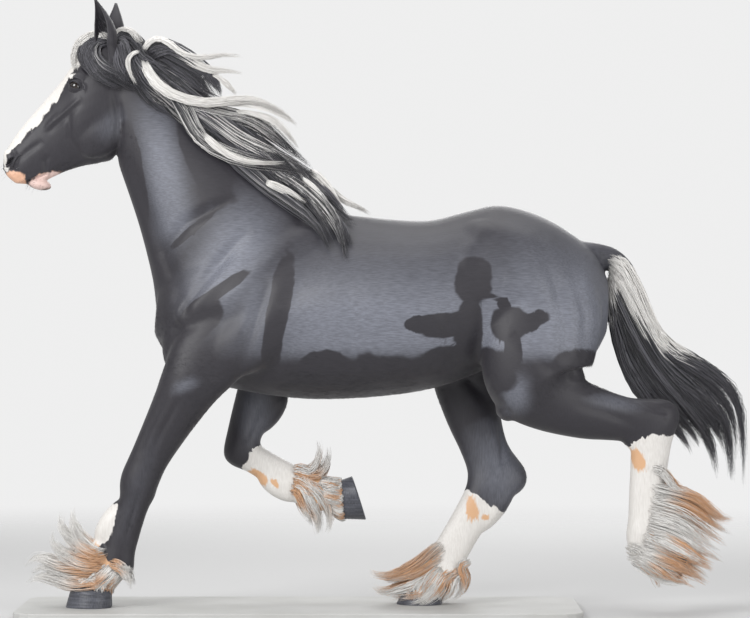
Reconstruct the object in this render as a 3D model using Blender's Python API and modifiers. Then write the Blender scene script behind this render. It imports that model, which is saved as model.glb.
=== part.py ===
"""A heavy draught horse at the trot, life size, as a still museum model on a plain flat base.

Metres, +Z up. The horse faces -X, its near (left) side is -Y, and the origin is the middle of the
base's underside. The near fore and the off hind are planted; the other two feet are in the air.
"""

import math
import random
from collections import namedtuple

import bmesh
import bpy
from mathutils import Matrix, Vector
from mathutils.bvhtree import BVHTree

# Driving dimensions
GAP = 0.00035
BASE_LENGTH = 2.40
BASE_WIDTH = 0.90
BASE_THICKNESS = 0.0255
BASE_CORNER = 0.12
BASE_CHAMFER = 0.004
SOLE_LEVEL = BASE_THICKNESS + GAP

FOREARM = 0.50
FORE_CANNON = 0.344
GASKIN = 0.58
FEMUR = 0.465
HIND_CANNON = 0.435
PASTERN = 0.13

EYE_RADIUS = 0.029
EYE_CENTRE = Vector((-0.955, 0.080, 2.250))
LID = 0.005
LID_HALF_LENGTH = 0.029
LID_HALF_HEIGHT = 0.0165
LID_TILT = math.radians(24)
LID_SIDES = 10
NOSTRIL = ((-1.262, 0.050, 1.952), (-1.246, 0.052, 1.918))
MOUTH_LINE = ((-1.30, 1.800), (-1.085, 1.876))
LIP_GAP = 0.003
LIP_DEPTH = 0.024

EAR_BASE = Vector((-0.822, 0.058, 2.400))
EAR_TIPS = ((-0.875, 0.090, 2.640), (-0.800, 0.090, 2.640))
EAR_HALF_WIDTH = 0.048
EAR_WALL = 0.006
EAR_CURVE = 0.008
EAR_ARC = 6
# Share of the ear's length, its width there, and half the arc it wraps round in degrees
EAR_PROFILE = (
    (0.0, 0.72, 140),
    (0.18, 0.96, 125),
    (0.36, 1.00, 112),
    (0.55, 0.84, 102),
    (0.74, 0.54, 92),
    (0.90, 0.25, 82),
    (1.0, 0.08, 75),
)

HOOF_HEIGHT = 0.076
HOOF_HALF_LENGTH = 0.110
HOOF_HALF_WIDTH = 0.100
HOOF_TOP_HALF_LENGTH = 0.090
HOOF_TOP_HALF_WIDTH = 0.082
HOOF_REACH = 0.015
HOOF_EDGE = 0.003
HOOF_SIDES = 14
HEEL_SHARE = 0.86
CORONET_SLOPE = 0.28

VOXEL = 0.0105
REGION_TRIANGLES = {"trunk": 1100, "legs": 1300, "head": 800}
SMOOTHING = {"trunk": 1.0, "legs": 0.5, "head": 0.22}
SWELL = 0.0010
# The seed of each family of locks
SEEDS = {"mane": 11, "forelock": 32, "tail": 13, "fore_near": 14, "fore_off": 15, "hind_near": 26, "hind_off": 17}

NEAR, OFF = -1, 1

# A slice of the body: its upper or front edge and its lower or back edge as (x, z), the half width,
# how much its top narrows (or, below 0, its bottom), and how far its middle is off the centre plane.
Section = namedtuple("Section", "top bottom half_width pinch y", defaults=(0.0, 0.0))
# A slice of a leg: how far along its bone, the depth in front of and behind the bone, the half width.
Slice = namedtuple("Slice", "bone along front back half_width")

TRUNK = (
    Section((-0.60, 1.42), (-0.625, 1.19), 0.10),
    Section((-0.54, 1.50), (-0.56, 1.09), 0.180),
    Section((-0.43, 1.60), (-0.43, 1.00), 0.235),
    Section((-0.26, 1.66), (-0.26, 0.95), 0.275, 0.25),
    Section((-0.04, 1.69), (-0.04, 0.917), 0.30, 0.42),
    Section((0.17, 1.705), (0.17, 0.912), 0.335, 0.40),
    Section((0.39, 1.685), (0.39, 0.928), 0.36, 0.20),
    Section((0.56, 1.680), (0.56, 0.955), 0.352, 0.12),
    Section((0.71, 1.716), (0.71, 1.00), 0.33, 0.10),
    Section((0.86, 1.745), (0.86, 1.06), 0.325, 0.12),
    Section((1.03, 1.700), (1.03, 1.06), 0.315, 0.10),
    Section((1.17, 1.620), (1.16, 1.06), 0.27, 0.08),
    Section((1.265, 1.535), (1.26, 1.10), 0.20),
    Section((1.325, 1.42), (1.318, 1.20), 0.10),
)
NECK = (
    Section((0.24, 1.62), (-0.42, 1.02), 0.20, 0.35),
    Section((0.163, 1.755), (-0.590, 1.20), 0.225, 0.45),
    Section((-0.013, 1.895), (-0.635, 1.43), 0.19, 0.45),
    Section((-0.206, 2.050), (-0.685, 1.63), 0.155, 0.42),
    Section((-0.404, 2.195), (-0.736, 1.79), 0.128, 0.38),
    Section((-0.568, 2.315), (-0.774, 1.905), 0.112, 0.30),
    Section((-0.690, 2.420), (-0.795, 2.00), 0.100, 0.20),
    Section((-0.760, 2.440), (-0.840, 2.05), 0.085, 0.20),
)
HEAD = (
    Section((-0.690, 2.435), (-0.740, 2.06), 0.080, 0.2),
    Section((-0.790, 2.465), (-0.800, 1.950), 0.102, 0.1),
    Section((-0.890, 2.420), (-0.855, 1.928), 0.112, -0.18),
    Section((-0.972, 2.352), (-0.908, 1.918), 0.110, -0.22),
    Section((-1.026, 2.278), (-0.952, 1.908), 0.092, -0.20),
    Section((-1.086, 2.208), (-0.990, 1.896), 0.072, -0.12),
    Section((-1.148, 2.138), (-1.026, 1.882), 0.060),
    Section((-1.208, 2.066), (-1.060, 1.866), 0.056, 0.06),
    Section((-1.252, 2.000), (-1.106, 1.846), 0.058, 0.08),
    Section((-1.276, 1.945), (-1.150, 1.836), 0.056, 0.05),
    Section((-1.274, 1.900), (-1.190, 1.836), 0.042),
)
DOCK = (
    Section((1.200, 1.590), (1.225, 1.490), 0.060),
    Section((1.285, 1.582), (1.275, 1.480), 0.048),
    Section((1.372, 1.552), (1.325, 1.460), 0.042),
    Section((1.440, 1.478), (1.370, 1.410), 0.037),
    Section((1.475, 1.370), (1.415, 1.340), 0.030),
    Section((1.505, 1.270), (1.452, 1.258), 0.022),
)

FORELEG = (
    Slice(0, -0.55, 0.120, 0.160, 0.050),
    Slice(0, -0.25, 0.165, 0.160, 0.080),
    Slice(0, 0.02, 0.150, 0.118, 0.100),
    Slice(0, 0.25, 0.130, 0.094, 0.092),
    Slice(0, 0.50, 0.114, 0.077, 0.078),
    Slice(0, 0.76, 0.100, 0.066, 0.064),
    Slice(0, 0.95, 0.092, 0.074, 0.069),
    Slice(1, 0.08, 0.082, 0.078, 0.066),
    Slice(1, 0.24, 0.066, 0.066, 0.052),
    Slice(1, 0.50, 0.072, 0.062, 0.048),
    Slice(1, 0.80, 0.080, 0.064, 0.051),
    Slice(1, 1.00, 0.080, 0.078, 0.060),
    Slice(2, 0.50, 0.060, 0.064, 0.058),
    Slice(2, 1.00, 0.070, 0.074, 0.070),
    Slice(2, 1.30, 0.066, 0.066, 0.066),
)
HINDLEG = (
    Slice(0, -0.30, 0.170, 0.150, 0.060),
    Slice(0, 0.05, 0.240, 0.250, 0.130),
    Slice(0, 0.45, 0.235, 0.272, 0.155),
    Slice(0, 0.80, 0.170, 0.288, 0.156),
    Slice(1, 0.05, 0.108, 0.258, 0.140),
    Slice(1, 0.25, 0.122, 0.176, 0.112),
    Slice(1, 0.50, 0.113, 0.130, 0.090),
    Slice(1, 0.75, 0.100, 0.112, 0.070),
    Slice(1, 0.93, 0.100, 0.158, 0.067),
    Slice(2, 0.06, 0.097, 0.152, 0.068),
    Slice(2, 0.22, 0.080, 0.104, 0.057),
    Slice(2, 0.55, 0.074, 0.080, 0.050),
    Slice(2, 0.85, 0.076, 0.080, 0.052),
    Slice(2, 1.00, 0.080, 0.086, 0.061),
    Slice(3, 0.50, 0.078, 0.064, 0.058),
    Slice(3, 1.00, 0.070, 0.074, 0.070),
    Slice(3, 1.30, 0.066, 0.066, 0.066),
)

# A leg as the trot sets it: where its top joint is as (x, z), each bone's swing forward of straight
# down in degrees, the swing of the hoof, and the distance of each joint from the centre plane.
Pose = namedtuple("Pose", "side start swings hoof_swing spread")
FORE_BONES = (FOREARM, FORE_CANNON, PASTERN)
HIND_BONES = (FEMUR, GASKIN, HIND_CANNON, PASTERN)
POSES = {
    "fore_near": Pose(NEAR, (-0.440, 0.985), (29, 16, 48), 0, (0.185, 0.135, 0.110, 0.105)),
    "fore_off": Pose(OFF, (-0.085, 1.145), (20, -62, -75), -108, (0.185, 0.150, 0.130, 0.130)),
    "hind_near": Pose(NEAR, (1.054, 1.372), (16, -77, 3, -55), -76, (0.185, 0.212, 0.165, 0.150, 0.150)),
    "hind_off": Pose(OFF, (1.040, 1.372), (57, -18.2, 30, 35), 0, (0.185, 0.205, 0.125, 0.070, 0.060)),
}

# A muscle: its two ends on the near side as (x, out from the centre plane, z), its radius in the side
# view, and its radius outwards.
Muscle = namedtuple("Muscle", "start end depth bulge")
MUSCLES = (
    Muscle((0.16, 0.13, 1.60), (-0.46, 0.20, 1.28), 0.15, 0.085),
    Muscle((0.02, 0.215, 1.36), (-0.36, 0.215, 1.06), 0.14, 0.085),
    Muscle((-0.42, 0.10, 1.36), (-0.50, 0.11, 1.06), 0.12, 0.10),
    Muscle((0.74, 0.16, 1.60), (1.14, 0.17, 1.42), 0.14, 0.12),
    Muscle((0.68, 0.20, 1.50), (0.66, 0.20, 1.16), 0.10, 0.09),
    Muscle((1.08, 0.15, 1.50), (1.19, 0.15, 1.12), 0.11, 0.10),
)
HEAD_MASSES = (
    Muscle((-0.800, 0.050, 2.13), (-0.915, 0.052, 2.010), 0.110, 0.056),
    Muscle((-0.985, 0.066, 2.292), (-0.890, 0.076, 2.285), 0.022, 0.028),
    Muscle((-0.930, 0.078, 2.225), (-1.090, 0.056, 2.075), 0.013, 0.016),
    Muscle((-0.960, 0.030, 2.290), (-1.175, 0.016, 2.010), 0.034, 0.028),
    Muscle((-1.250, 0.034, 1.968), (-1.215, 0.034, 1.915), 0.036, 0.032),
    Muscle((-1.258, 0.012, 1.900), (-1.195, 0.012, 1.850), 0.026, 0.044),
    Muscle((-1.160, 0.008, 1.842), (-1.080, 0.008, 1.826), 0.024, 0.040),
)

# Flesh and thick hair of one leg only: two ends as (x, z), the radius in the side view, the radius
# outwards, and how far out from the centre plane it is.
Mass = namedtuple("Mass", "leg start end depth bulge out")
LEG_MASSES = (
    Mass("fore_near", (-0.738, 0.470), (-0.850, 0.320), 0.054, 0.050, 0.110),
    Mass("fore_near", (-0.850, 0.270), (-0.950, 0.185), 0.070, 0.076, 0.110),
    Mass("fore_off", (-0.085, 0.925), (-0.190, 0.780), 0.058, 0.060, 0.165),
    Mass("fore_off", (-0.160, 0.575), (-0.020, 0.490), 0.056, 0.048, 0.130),
    Mass("fore_off", (0.060, 0.535), (0.085, 0.455), 0.070, 0.074, 0.130),
    Mass("hind_near", (1.120, 1.040), (1.190, 1.010), 0.045, 0.090, 0.205),
    Mass("hind_near", (0.850, 0.880), (0.895, 0.840), 0.032, 0.080, 0.200),
    Mass("hind_near", (1.385, 0.775), (1.430, 0.715), 0.034, 0.045, 0.165),
    Mass("hind_near", (1.550, 0.450), (1.630, 0.290), 0.085, 0.080, 0.150),
    Mass("hind_near", (1.415, 0.340), (1.490, 0.215), 0.044, 0.055, 0.150),
    Mass("hind_off", (1.200, 1.280), (0.980, 1.000), 0.130, 0.110, 0.190),
    Mass("hind_off", (0.912, 0.540), (0.775, 0.350), 0.050, 0.048, 0.100),
    Mass("hind_off", (0.560, 0.225), (0.450, 0.145), 0.058, 0.076, 0.070),
    Mass("hind_off", (0.645, 0.215), (0.632, 0.125), 0.050, 0.070, 0.070),
)

# Where a leg is parted, as the leg, the bone and the share of its length
LEG_CUTS = (
    ("fore_near", 0, 0.32),
    ("fore_near", 1, 0.20),
    ("fore_off", 0, 0.58),
    ("fore_off", 1, 0.24),
    ("hind_near", 2, 0.24),
    ("hind_off", 2, 0.24),
)

# Hair. A guide is four points of a curve as (x, z); each family runs from the poll to the withers.
LOCK_RINGS = 5
ROOT_WIDTH = 0.45
MANE_NEAR = 22
MANE_OFF = 4
# How far each layer of the mane follows the falling guides, from the neck outwards
MANE_LAYERS = (0.95, 0.50, -0.10)
MANE_LAY = 0.006
MANE_LOOSE = 0.08
LAYER_STEP = 0.023
MANE_LIFTED = (
    ((-0.716, 2.425), (-0.690, 2.425), (-0.545, 2.360), (-0.245, 2.365)),
    ((-0.660, 2.385), (-0.560, 2.375), (-0.390, 2.285), (-0.222, 2.292)),
    ((-0.570, 2.315), (-0.430, 2.290), (-0.225, 2.190), (0.020, 2.062)),
    ((-0.420, 2.210), (-0.288, 2.150), (-0.105, 2.035), (0.050, 1.884)),
    ((-0.225, 2.065), (-0.095, 1.985), (0.056, 1.870), (0.185, 1.722)),
    ((-0.010, 1.890), (0.085, 1.805), (0.185, 1.722), (0.315, 1.688)),
)
MANE_FALLING = (
    ((-0.722, 2.421), (-0.740, 2.275), (-0.645, 2.189), (-0.473, 2.111)),
    ((-0.645, 2.374), (-0.581, 2.167), (-0.430, 2.017), (-0.215, 1.896)),
    ((-0.537, 2.296), (-0.473, 2.081), (-0.258, 1.909), (0.013, 1.707)),
    ((-0.387, 2.189), (-0.280, 1.974), (-0.043, 1.845), (0.133, 1.539)),
    ((-0.194, 2.047), (-0.065, 1.866), (0.138, 1.737), (0.202, 1.484)),
    ((0.021, 1.883), (0.107, 1.780), (0.206, 1.694), (0.232, 1.574)),
)
FORELOCK = 9
FORELOCK_GUIDES = (
    ((-0.785, 2.440), (-0.890, 2.505), (-0.985, 2.410), (-0.975, 2.290)),
    ((-0.785, 2.440), (-0.880, 2.480), (-0.950, 2.420), (-0.930, 2.310)),
    ((-0.775, 2.440), (-0.880, 2.420), (-0.860, 2.330), (-0.760, 2.250)),
    ((-0.760, 2.440), (-0.840, 2.360), (-0.780, 2.270), (-0.690, 2.220)),
)
TAIL_RINGS = 7
TAIL_START = 0.08
TAIL_ROWS = 6
TAIL_COLUMNS = 4
TAIL_SPREAD = 0.070
TAIL_SHIFT = 0.012
DOCK_LINE = ((1.398, 1.468), (1.465, 1.330), (1.392, 1.428))
# The tail's upper edge, its middle and its lower edge as (x, z)
TAIL_GUIDES = (
    ((1.256, 1.551), (1.380, 1.520), (1.466, 1.370), (1.560, 1.170), (1.768, 1.060), (1.905, 0.890),
     (1.915, 0.525)),
    ((1.273, 1.518), (1.359, 1.393), (1.462, 1.200), (1.582, 1.028), (1.720, 0.877), (1.815, 0.727),
     (1.840, 0.510)),
    ((1.300, 1.449), (1.345, 1.260), (1.378, 1.090), (1.440, 0.950), (1.540, 0.835), (1.625, 0.750),
     (1.680, 0.640)),
)

# A fan of hair on a lower leg: the root's place along the cannon (0 to 1) or the pastern (1 to 2) with
# the tip as (x, z), for locks that the others come between; how many there are, how far they wrap
# round the leg, how they spread outwards, how they bend and how broad they are.
Fan = namedtuple("Fan", "guides count wrap spread bend width")
FAN_TURNS = (0, 55, -55, 90, -90, 28, -28, 75, -75)
FAN_ROOT = 0.030
FAN_SURFACE = 0.060
FAN_LIE = 0.07
FRINGE = 5
FANS = {
    "fore_near": (
        Fan(((0.62, (-0.955, 0.477)), (0.80, (-1.015, 0.439)), (0.95, (-1.049, 0.357))), 5, 0.8, 0.0, 0.5, 0.75),
        Fan(((1.15, (-1.160, 0.215)), (1.45, (-1.180, 0.170)), (1.8, (-1.175, 0.112))), 6, 1.0, 0.03, -0.25, 1.1),
        Fan(((1.0, (-0.690, 0.200)), (1.5, (-0.735, 0.135))), 3, 0.6, 0.0, 0.3, 0.8),
    ),
    "fore_off": (
        Fan(((0.98, (0.075, 0.735)), (1.25, (0.115, 0.714))), 4, 0.6, 0.0, 0.5, 0.8),
        Fan(((0.85, (0.045, 0.335)), (1.1, (0.075, 0.314)), (1.5, (0.120, 0.318))), 6, 0.9, 0.02, -0.3, 0.9),
    ),
    "hind_near": (
        Fan(((0.62, (1.668, 0.538)), (0.72, (1.690, 0.520))), 2, 0.8, 0.0, 0.5, 0.8),
        Fan(
            (
                (0.80, (1.850, 0.400)),
                (0.95, (1.850, 0.335)),
                (1.10, (1.828, 0.270)),
                (1.40, (1.776, 0.185)),
                (1.70, (1.742, 0.125)),
            ),
            10, 1.0, 0.09, 0.25, 1.3,
        ),
        Fan(((1.3, (1.540, 0.110)), (1.6, (1.560, 0.110))), 2, 0.8, 0.03, 0.2, 0.9),
    ),
    "hind_off": (
        Fan(((1.05, (0.284, 0.172)), (1.35, (0.295, 0.125)), (1.8, (0.360, 0.080))), 8, 1.0, 0.03, 0.35, 0.95),
        Fan(((0.9, (0.720, 0.150)), (1.5, (0.690, 0.075))), 4, 0.8, 0.0, -0.2, 1.0),
    ),
}


def swing_direction(degrees):
    """The direction of a bone that swings forward of straight down, as (x, z)."""
    angle = math.radians(degrees)
    return Vector((-math.sin(angle), -math.cos(angle)))


def joints_of(pose, bones):
    """The joints of a leg in its pose, from the top one down, as (x, z)."""
    points = [Vector(pose.start)]
    for length, swing in zip(bones, pose.swings):
        points.append(points[-1] + swing_direction(swing) * length)
    return points


def leg_sections(pose, bones, slices):
    """The sections of a leg, each square to the leg's run, which turns evenly through every joint."""
    points = joints_of(pose, bones)
    runs = [swing_direction(swing) for swing in pose.swings]
    sections = []
    for cut in slices:
        run = runs[cut.bone]
        if cut.along < 0.5:
            other = runs[max(cut.bone - 1, 0)]
        else:
            other = runs[min(cut.bone + 1, len(runs) - 1)]
        share = min(abs(cut.along - 0.5), 0.5)
        run = (run * (1 - share) + other * share).normalized()
        front = Vector((run.y, -run.x))
        middle = points[cut.bone].lerp(points[cut.bone + 1], cut.along)
        y = pose.spread[cut.bone] + (pose.spread[cut.bone + 1] - pose.spread[cut.bone]) * cut.along
        sections.append(
            Section(middle + front * cut.front, middle - front * cut.back, cut.half_width, 0.0, pose.side * y)
        )
    return sections


def catmull(a, b, c, d, t):
    """A point of a Catmull-Rom curve between b and c."""
    return 0.5 * (2 * b + (c - a) * t + (2 * a - 5 * b + 4 * c - d) * t**2 + (3 * b - a - 3 * c + d) * t**3)


def refined(sections, steps):
    """The sections with steps - 1 more between each two, on a smooth curve through all of them."""
    rows = [(*s.top, *s.bottom, s.half_width, s.pinch, s.y) for s in sections]
    rows = [rows[0], *rows, rows[-1]]
    made = []
    for i in range(1, len(rows) - 2):
        for step in range(steps):
            made.append([catmull(*values, step / steps) for values in zip(*rows[i - 1 : i + 3])])
    made.append(list(rows[-1]))
    return [Section((r[0], r[1]), (r[2], r[3]), r[4], r[5], r[6]) for r in made]


def ring_points(section, sides):
    """The points of one section's outline, an oval that its pinch narrows towards the top."""
    top, bottom = Vector(section.top), Vector(section.bottom)
    middle, half = (top + bottom) / 2, (top - bottom) / 2
    points = []
    for i in range(sides):
        angle = 2 * math.pi * i / sides
        up, out = math.sin(angle), math.cos(angle)
        width = section.half_width * math.copysign(abs(out) ** 0.9, out)
        width *= 1 - abs(section.pinch) * max(0.0, math.copysign(up * up, up * section.pinch))
        spot = middle + half * up
        points.append(Vector((spot.x, section.y + width, spot.y)))
    return points


def loft(sections, sides=24, steps=4):
    """A closed bmesh through the sections, domed at both ends."""
    bm = bmesh.new()
    rings = []
    for section in refined(sections, steps):
        rings.append([bm.verts.new(p) for p in ring_points(section, sides)])
    for first, second in zip(rings, rings[1:]):
        for i in range(sides):
            j = (i + 1) % sides
            bm.faces.new((first[i], first[j], second[j], second[i]))
    bm.faces.new(reversed(rings[0]))
    bm.faces.new(rings[-1])
    bmesh.ops.recalc_face_normals(bm, faces=bm.faces)
    return bm


def ellipsoid(start, end, depth, bulge, segments=20):
    """A closed bmesh of an ellipsoid with its long axis from start to end."""
    start, end = Vector(start), Vector(end)
    axis = end - start
    bm = bmesh.new()
    bmesh.ops.create_uvsphere(bm, u_segments=segments, v_segments=segments // 2, radius=1.0)
    side = Vector((0.0, 1.0, 0.0))
    up = axis.cross(side).normalized()
    side = up.cross(axis).normalized()
    frame = Matrix((up * depth, side * bulge, axis.normalized() * (axis.length / 2 + depth / 2))).transposed()
    bmesh.ops.transform(bm, matrix=Matrix.Translation((start + end) / 2) @ frame.to_4x4(), verts=bm.verts)
    bmesh.ops.recalc_face_normals(bm, faces=bm.faces)
    return bm


def add(whole, piece):
    """Copies a bmesh into another and frees it."""
    mesh = bpy.data.meshes.new("piece")
    piece.to_mesh(mesh)
    piece.free()
    whole.from_mesh(mesh)
    bpy.data.meshes.remove(mesh)


def new_object(name, bm, collection):
    """An object that holds the bmesh, which is freed."""
    mesh = bpy.data.meshes.new(name)
    bm.to_mesh(mesh)
    bm.free()
    obj = bpy.data.objects.new(name, mesh)
    collection.objects.link(obj)
    return obj


def apply_modifiers(obj):
    """Replaces an object's mesh by what its modifiers make of it."""
    bpy.context.view_layer.update()
    evaluated = obj.evaluated_get(bpy.context.evaluated_depsgraph_get())
    mesh = bpy.data.meshes.new_from_object(evaluated)
    obj.modifiers.clear()
    obj.data = mesh


def flesh(collection):
    """The whole body as one smooth closed mesh: lofts and muscles, fused and evened out."""
    whole = bmesh.new()
    for sections in (TRUNK, NECK, HEAD, DOCK):
        add(whole, loft(sections))
    for name, pose in POSES.items():
        bones, slices = bones_of(name)
        add(whole, loft(leg_sections(pose, bones, slices), sides=20))
    for muscle in MUSCLES + HEAD_MASSES:
        for side in (NEAR, OFF):
            ends = [Vector((p[0], side * p[1], p[2])) for p in (muscle.start, muscle.end)]
            add(whole, ellipsoid(*ends, muscle.depth, muscle.bulge))
    for mass in LEG_MASSES:
        side = POSES[mass.leg].side
        ends = [Vector((x, side * mass.out, z)) for x, z in (mass.start, mass.end)]
        add(whole, ellipsoid(*ends, mass.depth, mass.bulge))
    body = new_object("flesh", whole, collection)
    remesh = body.modifiers.new("fuse", "REMESH")
    remesh.mode = "VOXEL"
    remesh.voxel_size = VOXEL
    apply_modifiers(body)
    return body


def region(spot):
    """The region of the body that a place lies in."""
    if spot.x < -0.72 and spot.z > 1.80:
        return "head"
    return "legs" if spot.z < 0.94 else "trunk"


def smoothed(body):
    """Evens out the fused body, the head least, and lowers each region to its share of triangles."""
    group = body.vertex_groups.new(name="share")
    for vert in body.data.vertices:
        group.add([vert.index], SMOOTHING[region(vert.co)], "REPLACE")
    smooth = body.modifiers.new("smooth", "SMOOTH")
    smooth.factor = 0.5
    smooth.iterations = 26
    smooth.vertex_group = group.name
    apply_modifiers(body)
    for name, wanted in REGION_TRIANGLES.items():
        group = body.vertex_groups[0]
        inside = set()
        for vert in body.data.vertices:
            group.add([vert.index], float(region(vert.co) == name), "REPLACE")
            if region(vert.co) == name:
                inside.add(vert.index)
        total = sum(len(p.vertices) - 2 for p in body.data.polygons)
        here = sum(len(p.vertices) - 2 for p in body.data.polygons if p.vertices[0] in inside)
        reduce = body.modifiers.new("reduce", "DECIMATE")
        reduce.ratio = (total - here + wanted) / total
        reduce.vertex_group = group.name
        apply_modifiers(body)
    body.vertex_groups.clear()


def boolean(obj, operation, other):
    """Applies a Boolean with another object, or with all that a collection holds, and removes those."""
    modifier = obj.modifiers.new(operation.lower(), "BOOLEAN")
    modifier.operation = operation
    modifier.solver = "MANIFOLD"
    if isinstance(other, bpy.types.Collection):
        modifier.operand_type = "COLLECTION"
        modifier.collection = other
        used = list(other.objects)
    else:
        modifier.object = other
        used = [other]
    apply_modifiers(obj)
    for cutter in used:
        bpy.data.objects.remove(cutter)


def islands(bm):
    """The sets of faces of a bmesh that join across edges of two faces."""
    left = set(bm.faces)
    found = []
    while left:
        stack = [left.pop()]
        island = set(stack)
        while stack:
            for edge in stack.pop().edges:
                for face in edge.link_faces if len(edge.link_faces) == 2 else ():
                    if face in left:
                        left.remove(face)
                        island.add(face)
                        stack.append(face)
        found.append(island)
    return found


def part_of(bm, faces):
    """A new bmesh of some faces of another."""
    made = bmesh.new()
    copies = {}
    for face in faces:
        for vert in face.verts:
            if vert not in copies:
                copies[vert] = made.verts.new(vert.co)
        made.faces.new([copies[vert] for vert in face.verts])
    return made


def keep_largest(obj):
    """Leaves only the connected surface of an object that has the most area."""
    bm = bmesh.new()
    bm.from_mesh(obj.data)
    found = sorted(islands(bm), key=lambda island: sum(face.calc_area() for face in island))
    for island in found[:-1]:
        bmesh.ops.delete(bm, geom=list(island), context="FACES")
    bm.to_mesh(obj.data)
    bm.free()


def slab(start, end, low, high, thickness=GAP):
    """A thin box that is seen edge-on from the side, between two points and two distances along Y."""
    start, end = Vector((start[0], 0.0, start[1])), Vector((end[0], 0.0, end[1]))
    along = (end - start).normalized()
    across = along.cross(Vector((0.0, 1.0, 0.0)))
    frame = Matrix((along * (end - start).length, Vector((0, high - low, 0)), across * thickness))
    middle = (start + end) / 2 + Vector((0, (high + low) / 2, 0))
    bm = bmesh.new()
    bmesh.ops.create_cube(bm, size=1.0)
    matrix = Matrix.Translation(middle) @ frame.transposed().to_4x4()
    bmesh.ops.transform(bm, matrix=matrix, verts=bm.verts)
    bmesh.ops.recalc_face_normals(bm, faces=bm.faces)
    return bm


def side_span(side):
    """The range of Y on one side of the centre plane."""
    return (0.004, 0.7) if side == OFF else (-0.7, -0.004)


def bones_of(name):
    """The bones of a leg that take its shape, and its slices."""
    return (FORE_BONES, FORELEG) if name.startswith("fore") else (HIND_BONES, HINDLEG)


def across_bone(name, bone, along, reach=0.17):
    """Two points either side of a leg's bone, square to it."""
    pose = POSES[name]
    points = joints_of(pose, bones_of(name)[0])
    run = swing_direction(pose.swings[bone])
    front = Vector((run.y, -run.x))
    middle = points[bone].lerp(points[bone + 1], along)
    return middle + front * reach, middle - front * reach


def hoof_frame(name):
    """The middle of a hoof's top, its way down, its way forward and its height."""
    pose = POSES[name]
    top = joints_of(pose, bones_of(name)[0])[-1]
    down = swing_direction(pose.hoof_swing)
    height = top.y - SOLE_LEVEL if pose.hoof_swing == 0 else HOOF_HEIGHT
    return top, down, Vector((down.y, -down.x)), height


def coronet(name, forward):
    """A point of the line where hair meets hoof, which drops towards the heel."""
    top, down, front, _ = hoof_frame(name)
    return top + front * forward - down * (forward * CORONET_SLOPE)


def hoof(name, collection):
    """A hoof: a flat sole, a round toe and walls that lean in up to the coronet."""
    pose = POSES[name]
    top, down, front, height = hoof_frame(name)
    rings = []
    bm = bmesh.new()
    for share in (0.0, 0.08, 0.5, 0.96, 1.0):
        lean = share**1.1
        length = HOOF_TOP_HALF_LENGTH + (HOOF_HALF_LENGTH - HOOF_TOP_HALF_LENGTH) * lean
        width = HOOF_TOP_HALF_WIDTH + (HOOF_HALF_WIDTH - HOOF_TOP_HALF_WIDTH) * lean
        shift = HOOF_REACH * lean
        if share in (0.0, 1.0):
            length, width = length - HOOF_EDGE, width - HOOF_EDGE
        ring = []
        for i in range(HOOF_SIDES):
            angle = 2 * math.pi * i / HOOF_SIDES
            forward = math.cos(angle) * length + shift
            if math.cos(angle) < 0:
                forward = shift + length * HEEL_SHARE * math.cos(angle)
            out = math.sin(angle) * width
            slope = -CORONET_SLOPE * (forward - shift) * (1 - share)
            depth = height * share + slope + (GAP if share == 0.0 else 0.0)
            spot = top + front * forward + down * depth
            ring.append(bm.verts.new((spot.x, pose.side * pose.spread[-1] + out, spot.y)))
        rings.append(ring)
    for first, second in zip(rings, rings[1:]):
        for i in range(HOOF_SIDES):
            j = (i + 1) % HOOF_SIDES
            bm.faces.new((first[i], first[j], second[j], second[i]))
    bm.faces.new(reversed(rings[0]))
    bm.faces.new(rings[-1])
    bmesh.ops.recalc_face_normals(bm, faces=bm.faces)
    return new_object(f"hoof_{name}", bm, collection)


def hoof_block(name):
    """A block that cuts the leg off along the coronet."""
    pose = POSES[name]
    _, down, _, _ = hoof_frame(name)
    start, end = coronet(name, -0.25), coronet(name, 0.25)
    deep = 0.12
    y = pose.side * pose.spread[-1]
    across = Vector((end.y - start.y, start.x - end.x)).normalized()
    across = across if across.dot(down) > 0 else -across
    move = across * deep / 2
    return slab(start + move, end + move, y - 0.13, y + 0.13, thickness=deep)


def cut_apart(body, cutters):
    """Parts the body with thin slabs and returns each loose piece as a bmesh."""
    cuts = [
        slab((0.27, 1.846), (-0.74, 1.02), -0.6, 0.6),
        slab((-0.688, 2.56), (-0.812, 1.80), -0.4, 0.4),
        slab((1.318, 1.38), (1.378, 1.63), -0.2, 0.2),
        slab((0.66, 0.915), (1.40, 1.045), *side_span(NEAR)),
        slab((0.46, 0.900), (1.10, 0.890), *side_span(OFF)),
    ]
    for name, bone, along in LEG_CUTS:
        cuts.append(slab(*across_bone(name, bone, along), *side_span(POSES[name].side)))
    for name in POSES:
        cuts.append(hoof_block(name))
    for bm in cuts:
        new_object("slab", bm, cutters)
    boolean(body, "DIFFERENCE", cutters)
    bm = bmesh.new()
    bm.from_mesh(body.data)
    parts = [part_of(bm, island) for island in islands(bm)]
    bm.free()
    bpy.data.objects.remove(body)
    return parts


def expected_places():
    """Roughly where the middle of each piece of flesh is."""
    places = {
        "torso": Vector((0.40, 0.0, 1.30)),
        "neck": Vector((-0.40, 0.0, 1.80)),
        "head": Vector((-0.98, 0.0, 2.15)),
        "tail": Vector((1.40, 0.0, 1.45)),
    }
    for name, pose in POSES.items():
        points = joints_of(pose, bones_of(name)[0])
        for piece, (first, second) in {"upper": (-4, -3), "lower": (-3, -2)}.items():
            middle = (points[first] + points[second]) / 2
            y = pose.side * (pose.spread[first] + pose.spread[second]) / 2
            places[f"{piece}_leg_{name}"] = Vector((middle.x, y, middle.y))
    return places


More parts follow.
